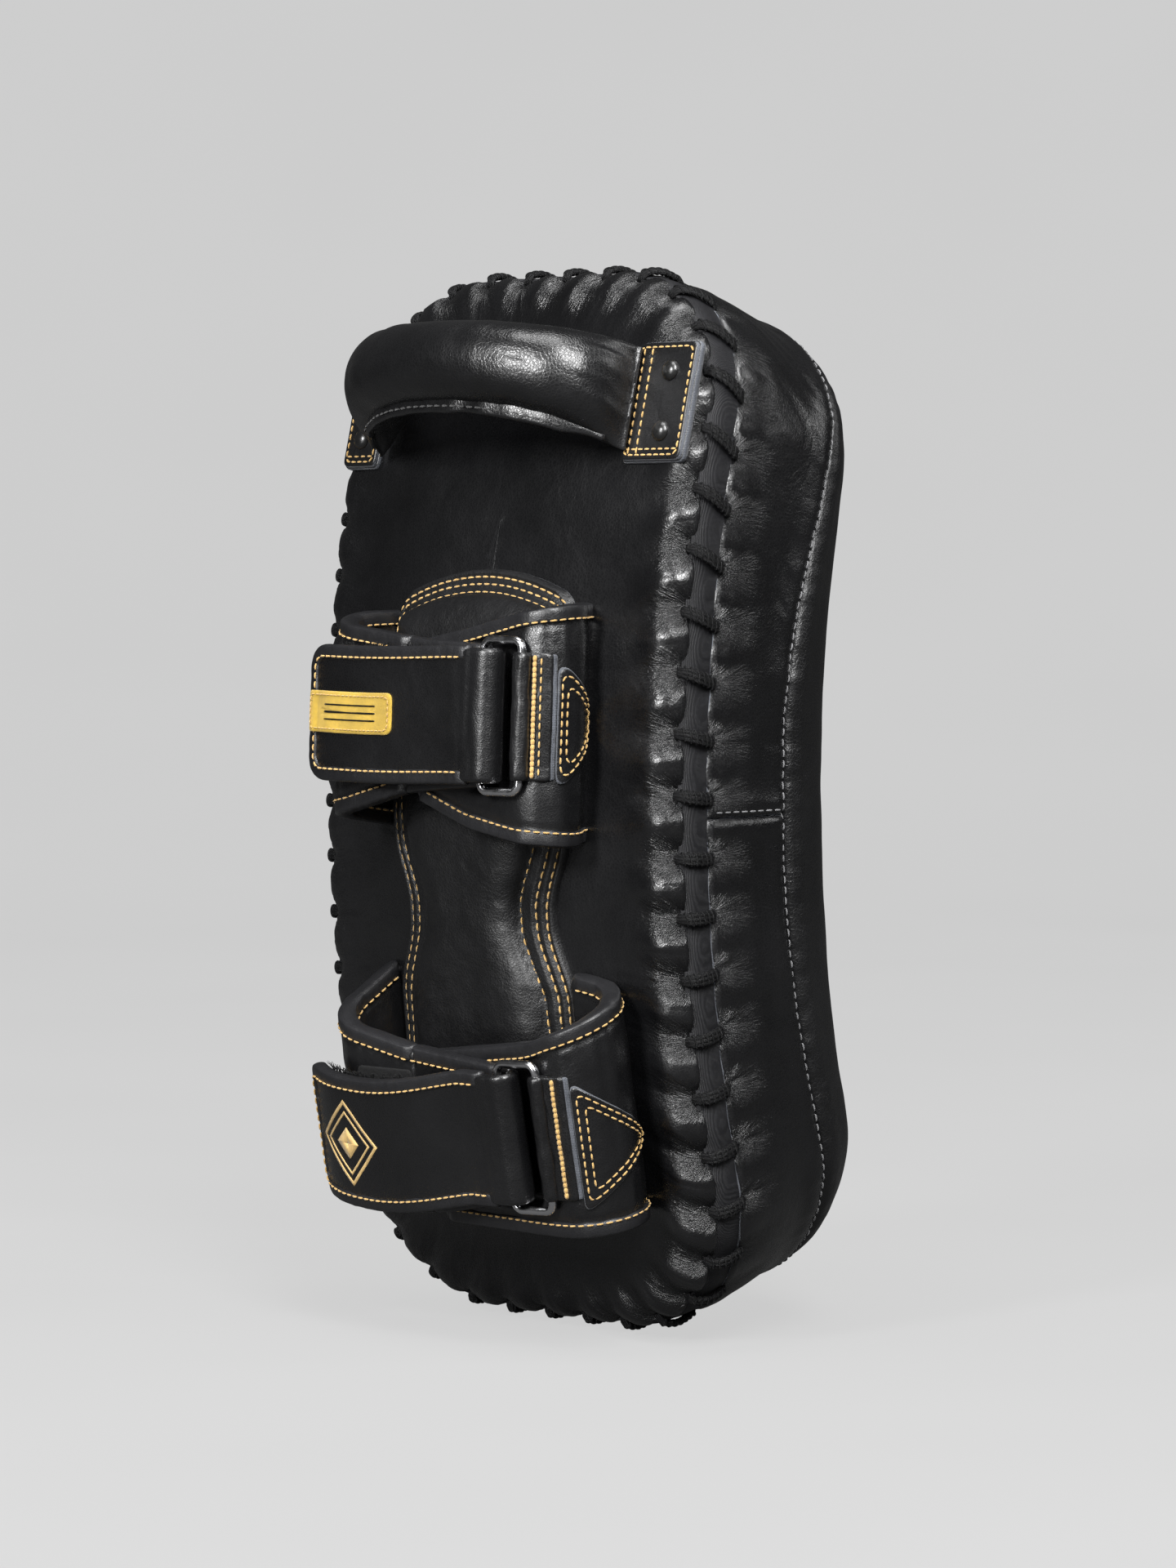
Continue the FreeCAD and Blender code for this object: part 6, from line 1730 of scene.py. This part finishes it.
def lower_print():
    """Nested diamonds printed on the lower tail."""
    def surface(place, height):
        dist, z = place.T
        top = STRAP_HALF + LOWER.tail_relief(dist, z, 1)
        return LOWER.tail_surface(dist, z, top + height)

    centre = np.array((LOWER.tail_length - 27.0, -0.5))
    corners = np.array([(1, 0), (0, 1), (-1, 0), (0, -1), (1, 0)], float)
    count = 96
    place = np.linspace(0, 4, count, endpoint=False)
    side = np.floor(place).astype(int)
    part = (place - side)[:, None]
    diamond = corners[side] * (1 - part) + corners[side + 1] * part
    bag = Bag()
    for outer, inner in ((17.0, 15.2), (12.6, 11.4), (6.2, 0.01)):
        outside, inside = centre + diamond * outer, centre + diamond * inner
        points = np.concatenate([surface(outside, 0.16), surface(inside, 0.16),
                                 surface(inside, -0.3), surface(outside, -0.3)])
        faces = []
        for a in range(4):
            b = (a + 1) % 4
            for k in range(count):
                after = (k + 1) % count
                faces.append((a * count + k, a * count + after,
                              b * count + after, b * count + k))
        bag.add(points, faces)
    register(bag.build("lower_strap_print", PRINT), "label", ride="lower_tail")


upper_label()
lower_print()

# ------------------------------------------------------------ studio (metres)
TARGET = Vector((0, 0.0178, 0.20357))
VIEW_AZIMUTH = 46.1       # degrees from -Y towards +X


def around_target(azimuth, elevation, distance):
    azimuth, elevation = math.radians(azimuth), math.radians(elevation)
    return Vector((TARGET.x + distance * math.sin(azimuth) * math.cos(elevation),
                   TARGET.y - distance * math.cos(azimuth) * math.cos(elevation),
                   TARGET.z + distance * math.sin(elevation)))


# name, place, width, height, power in watts
LIGHTS = [
    ("key", around_target(60, 40, 2.1), 0.5, 1.2, 66),
    ("strip_left", around_target(8, 24, 2.2), 0.42, 0.62, 50),
    ("strip_low", around_target(4, -2, 2.3), 0.22, 0.9, 7),
    ("strip_right", around_target(132, 34, 2.2), 0.5, 1.4, 9),
    ("top", Vector((0.15, -0.35, 2.2)), 0.9, 0.9, 22),
]


def world():
    """Bright to the camera, dim as a light."""
    scene = bpy.context.scene
    scene.view_settings.view_transform = "Standard"
    scene.view_settings.look = "None"
    scene.world = bpy.data.worlds.new("studio")
    scene.world.use_nodes = True
    nodes = Nodes(scene.world.node_tree)
    background = nodes.tree.nodes["Background"]
    camera_ray = nodes.add("LightPath").outputs["Is Camera Ray"]
    nodes.feed(background.inputs[0], nodes.remap(camera_ray, 0, 1, 0.035, 0.63))
    nodes.feed(background.inputs[1], 1.0)


def paper():
    shader = Shader("studio_paper")
    mottle = shader.noise(3.0, 2.0)
    camera_ray = shader.add("LightPath").outputs["Is Camera Ray"]
    return shader.finish({
        "Base Color": shader.ramp(mottle, [(0.3, (0.052,) * 3), (0.7, (0.056,) * 3)]),
        "Roughness": 0.95, "Specular IOR Level": 0.0,
        "Emission Color": shader.ramp(mottle, [(0.3, (0.585,) * 3), (0.7, (0.592,) * 3)]),
        "Emission Strength": shader.remap(camera_ray, 0, 1, 0.06, 1.0)})


def floor():
    """Floor with a wide swept-up back, square to the view, so no horizon shows."""
    columns, rows = 40, 90
    sweep_start, sweep_radius = 2.2, 1.6
    angle = math.radians(VIEW_AZIMUTH)
    across, deep = np.meshgrid(np.linspace(-6, 6, columns), np.linspace(-4.0, 6.0, rows),
                               indexing="ij")
    past = np.clip(deep - sweep_start, 0, None)
    curve = np.clip(sweep_radius ** 2 - np.minimum(past, sweep_radius) ** 2, 0, None)
    z = np.where(past < sweep_radius, sweep_radius - np.sqrt(curve),
                 sweep_radius + (past - sweep_radius) * 3)
    deep = np.minimum(deep, 3.8)
    points = np.stack([math.cos(angle) * across - math.sin(angle) * deep,
                       math.sin(angle) * across + math.cos(angle) * deep, z - 0.001], -1)
    mesh_object("studio_floor", points, grid_faces(columns, rows), paper(),
                         outward=False)


def area_light(name, place, width, height, power):
    light = bpy.data.lights.new(name, "AREA")
    light.energy = power
    light.shape = "RECTANGLE"
    light.size = width
    light.size_y = height
    ob = bpy.data.objects.new(name, light)
    bpy.context.scene.collection.objects.link(ob)
    ob.location = place
    ob.rotation_euler = (TARGET - place).to_track_quat("-Z", "Y").to_euler()


def camera():
    lens = bpy.data.cameras.new("camera")
    lens.sensor_fit = "VERTICAL"
    lens.sensor_height = 36
    lens.sensor_width = 27
    lens.lens = 120.55
    lens.clip_start = 0.05
    lens.clip_end = 60
    lens.shift_x = -0.00510417
    lens.shift_y = 0.00739583
    ob = bpy.data.objects.new("camera", lens)
    scene = bpy.context.scene
    scene.collection.objects.link(ob)
    place = around_target(VIEW_AZIMUTH, 2.6, 2.030)
    aim = (TARGET - place).to_track_quat("-Z", "Y").to_matrix().to_4x4()
    roll = Matrix.Rotation(-0.0048, 4, "Z")
    ob.matrix_world = Matrix.Translation(place) @ aim @ roll
    scene.camera = ob


world()
floor()
for light_settings in LIGHTS:
    area_light(*light_settings)
camera()
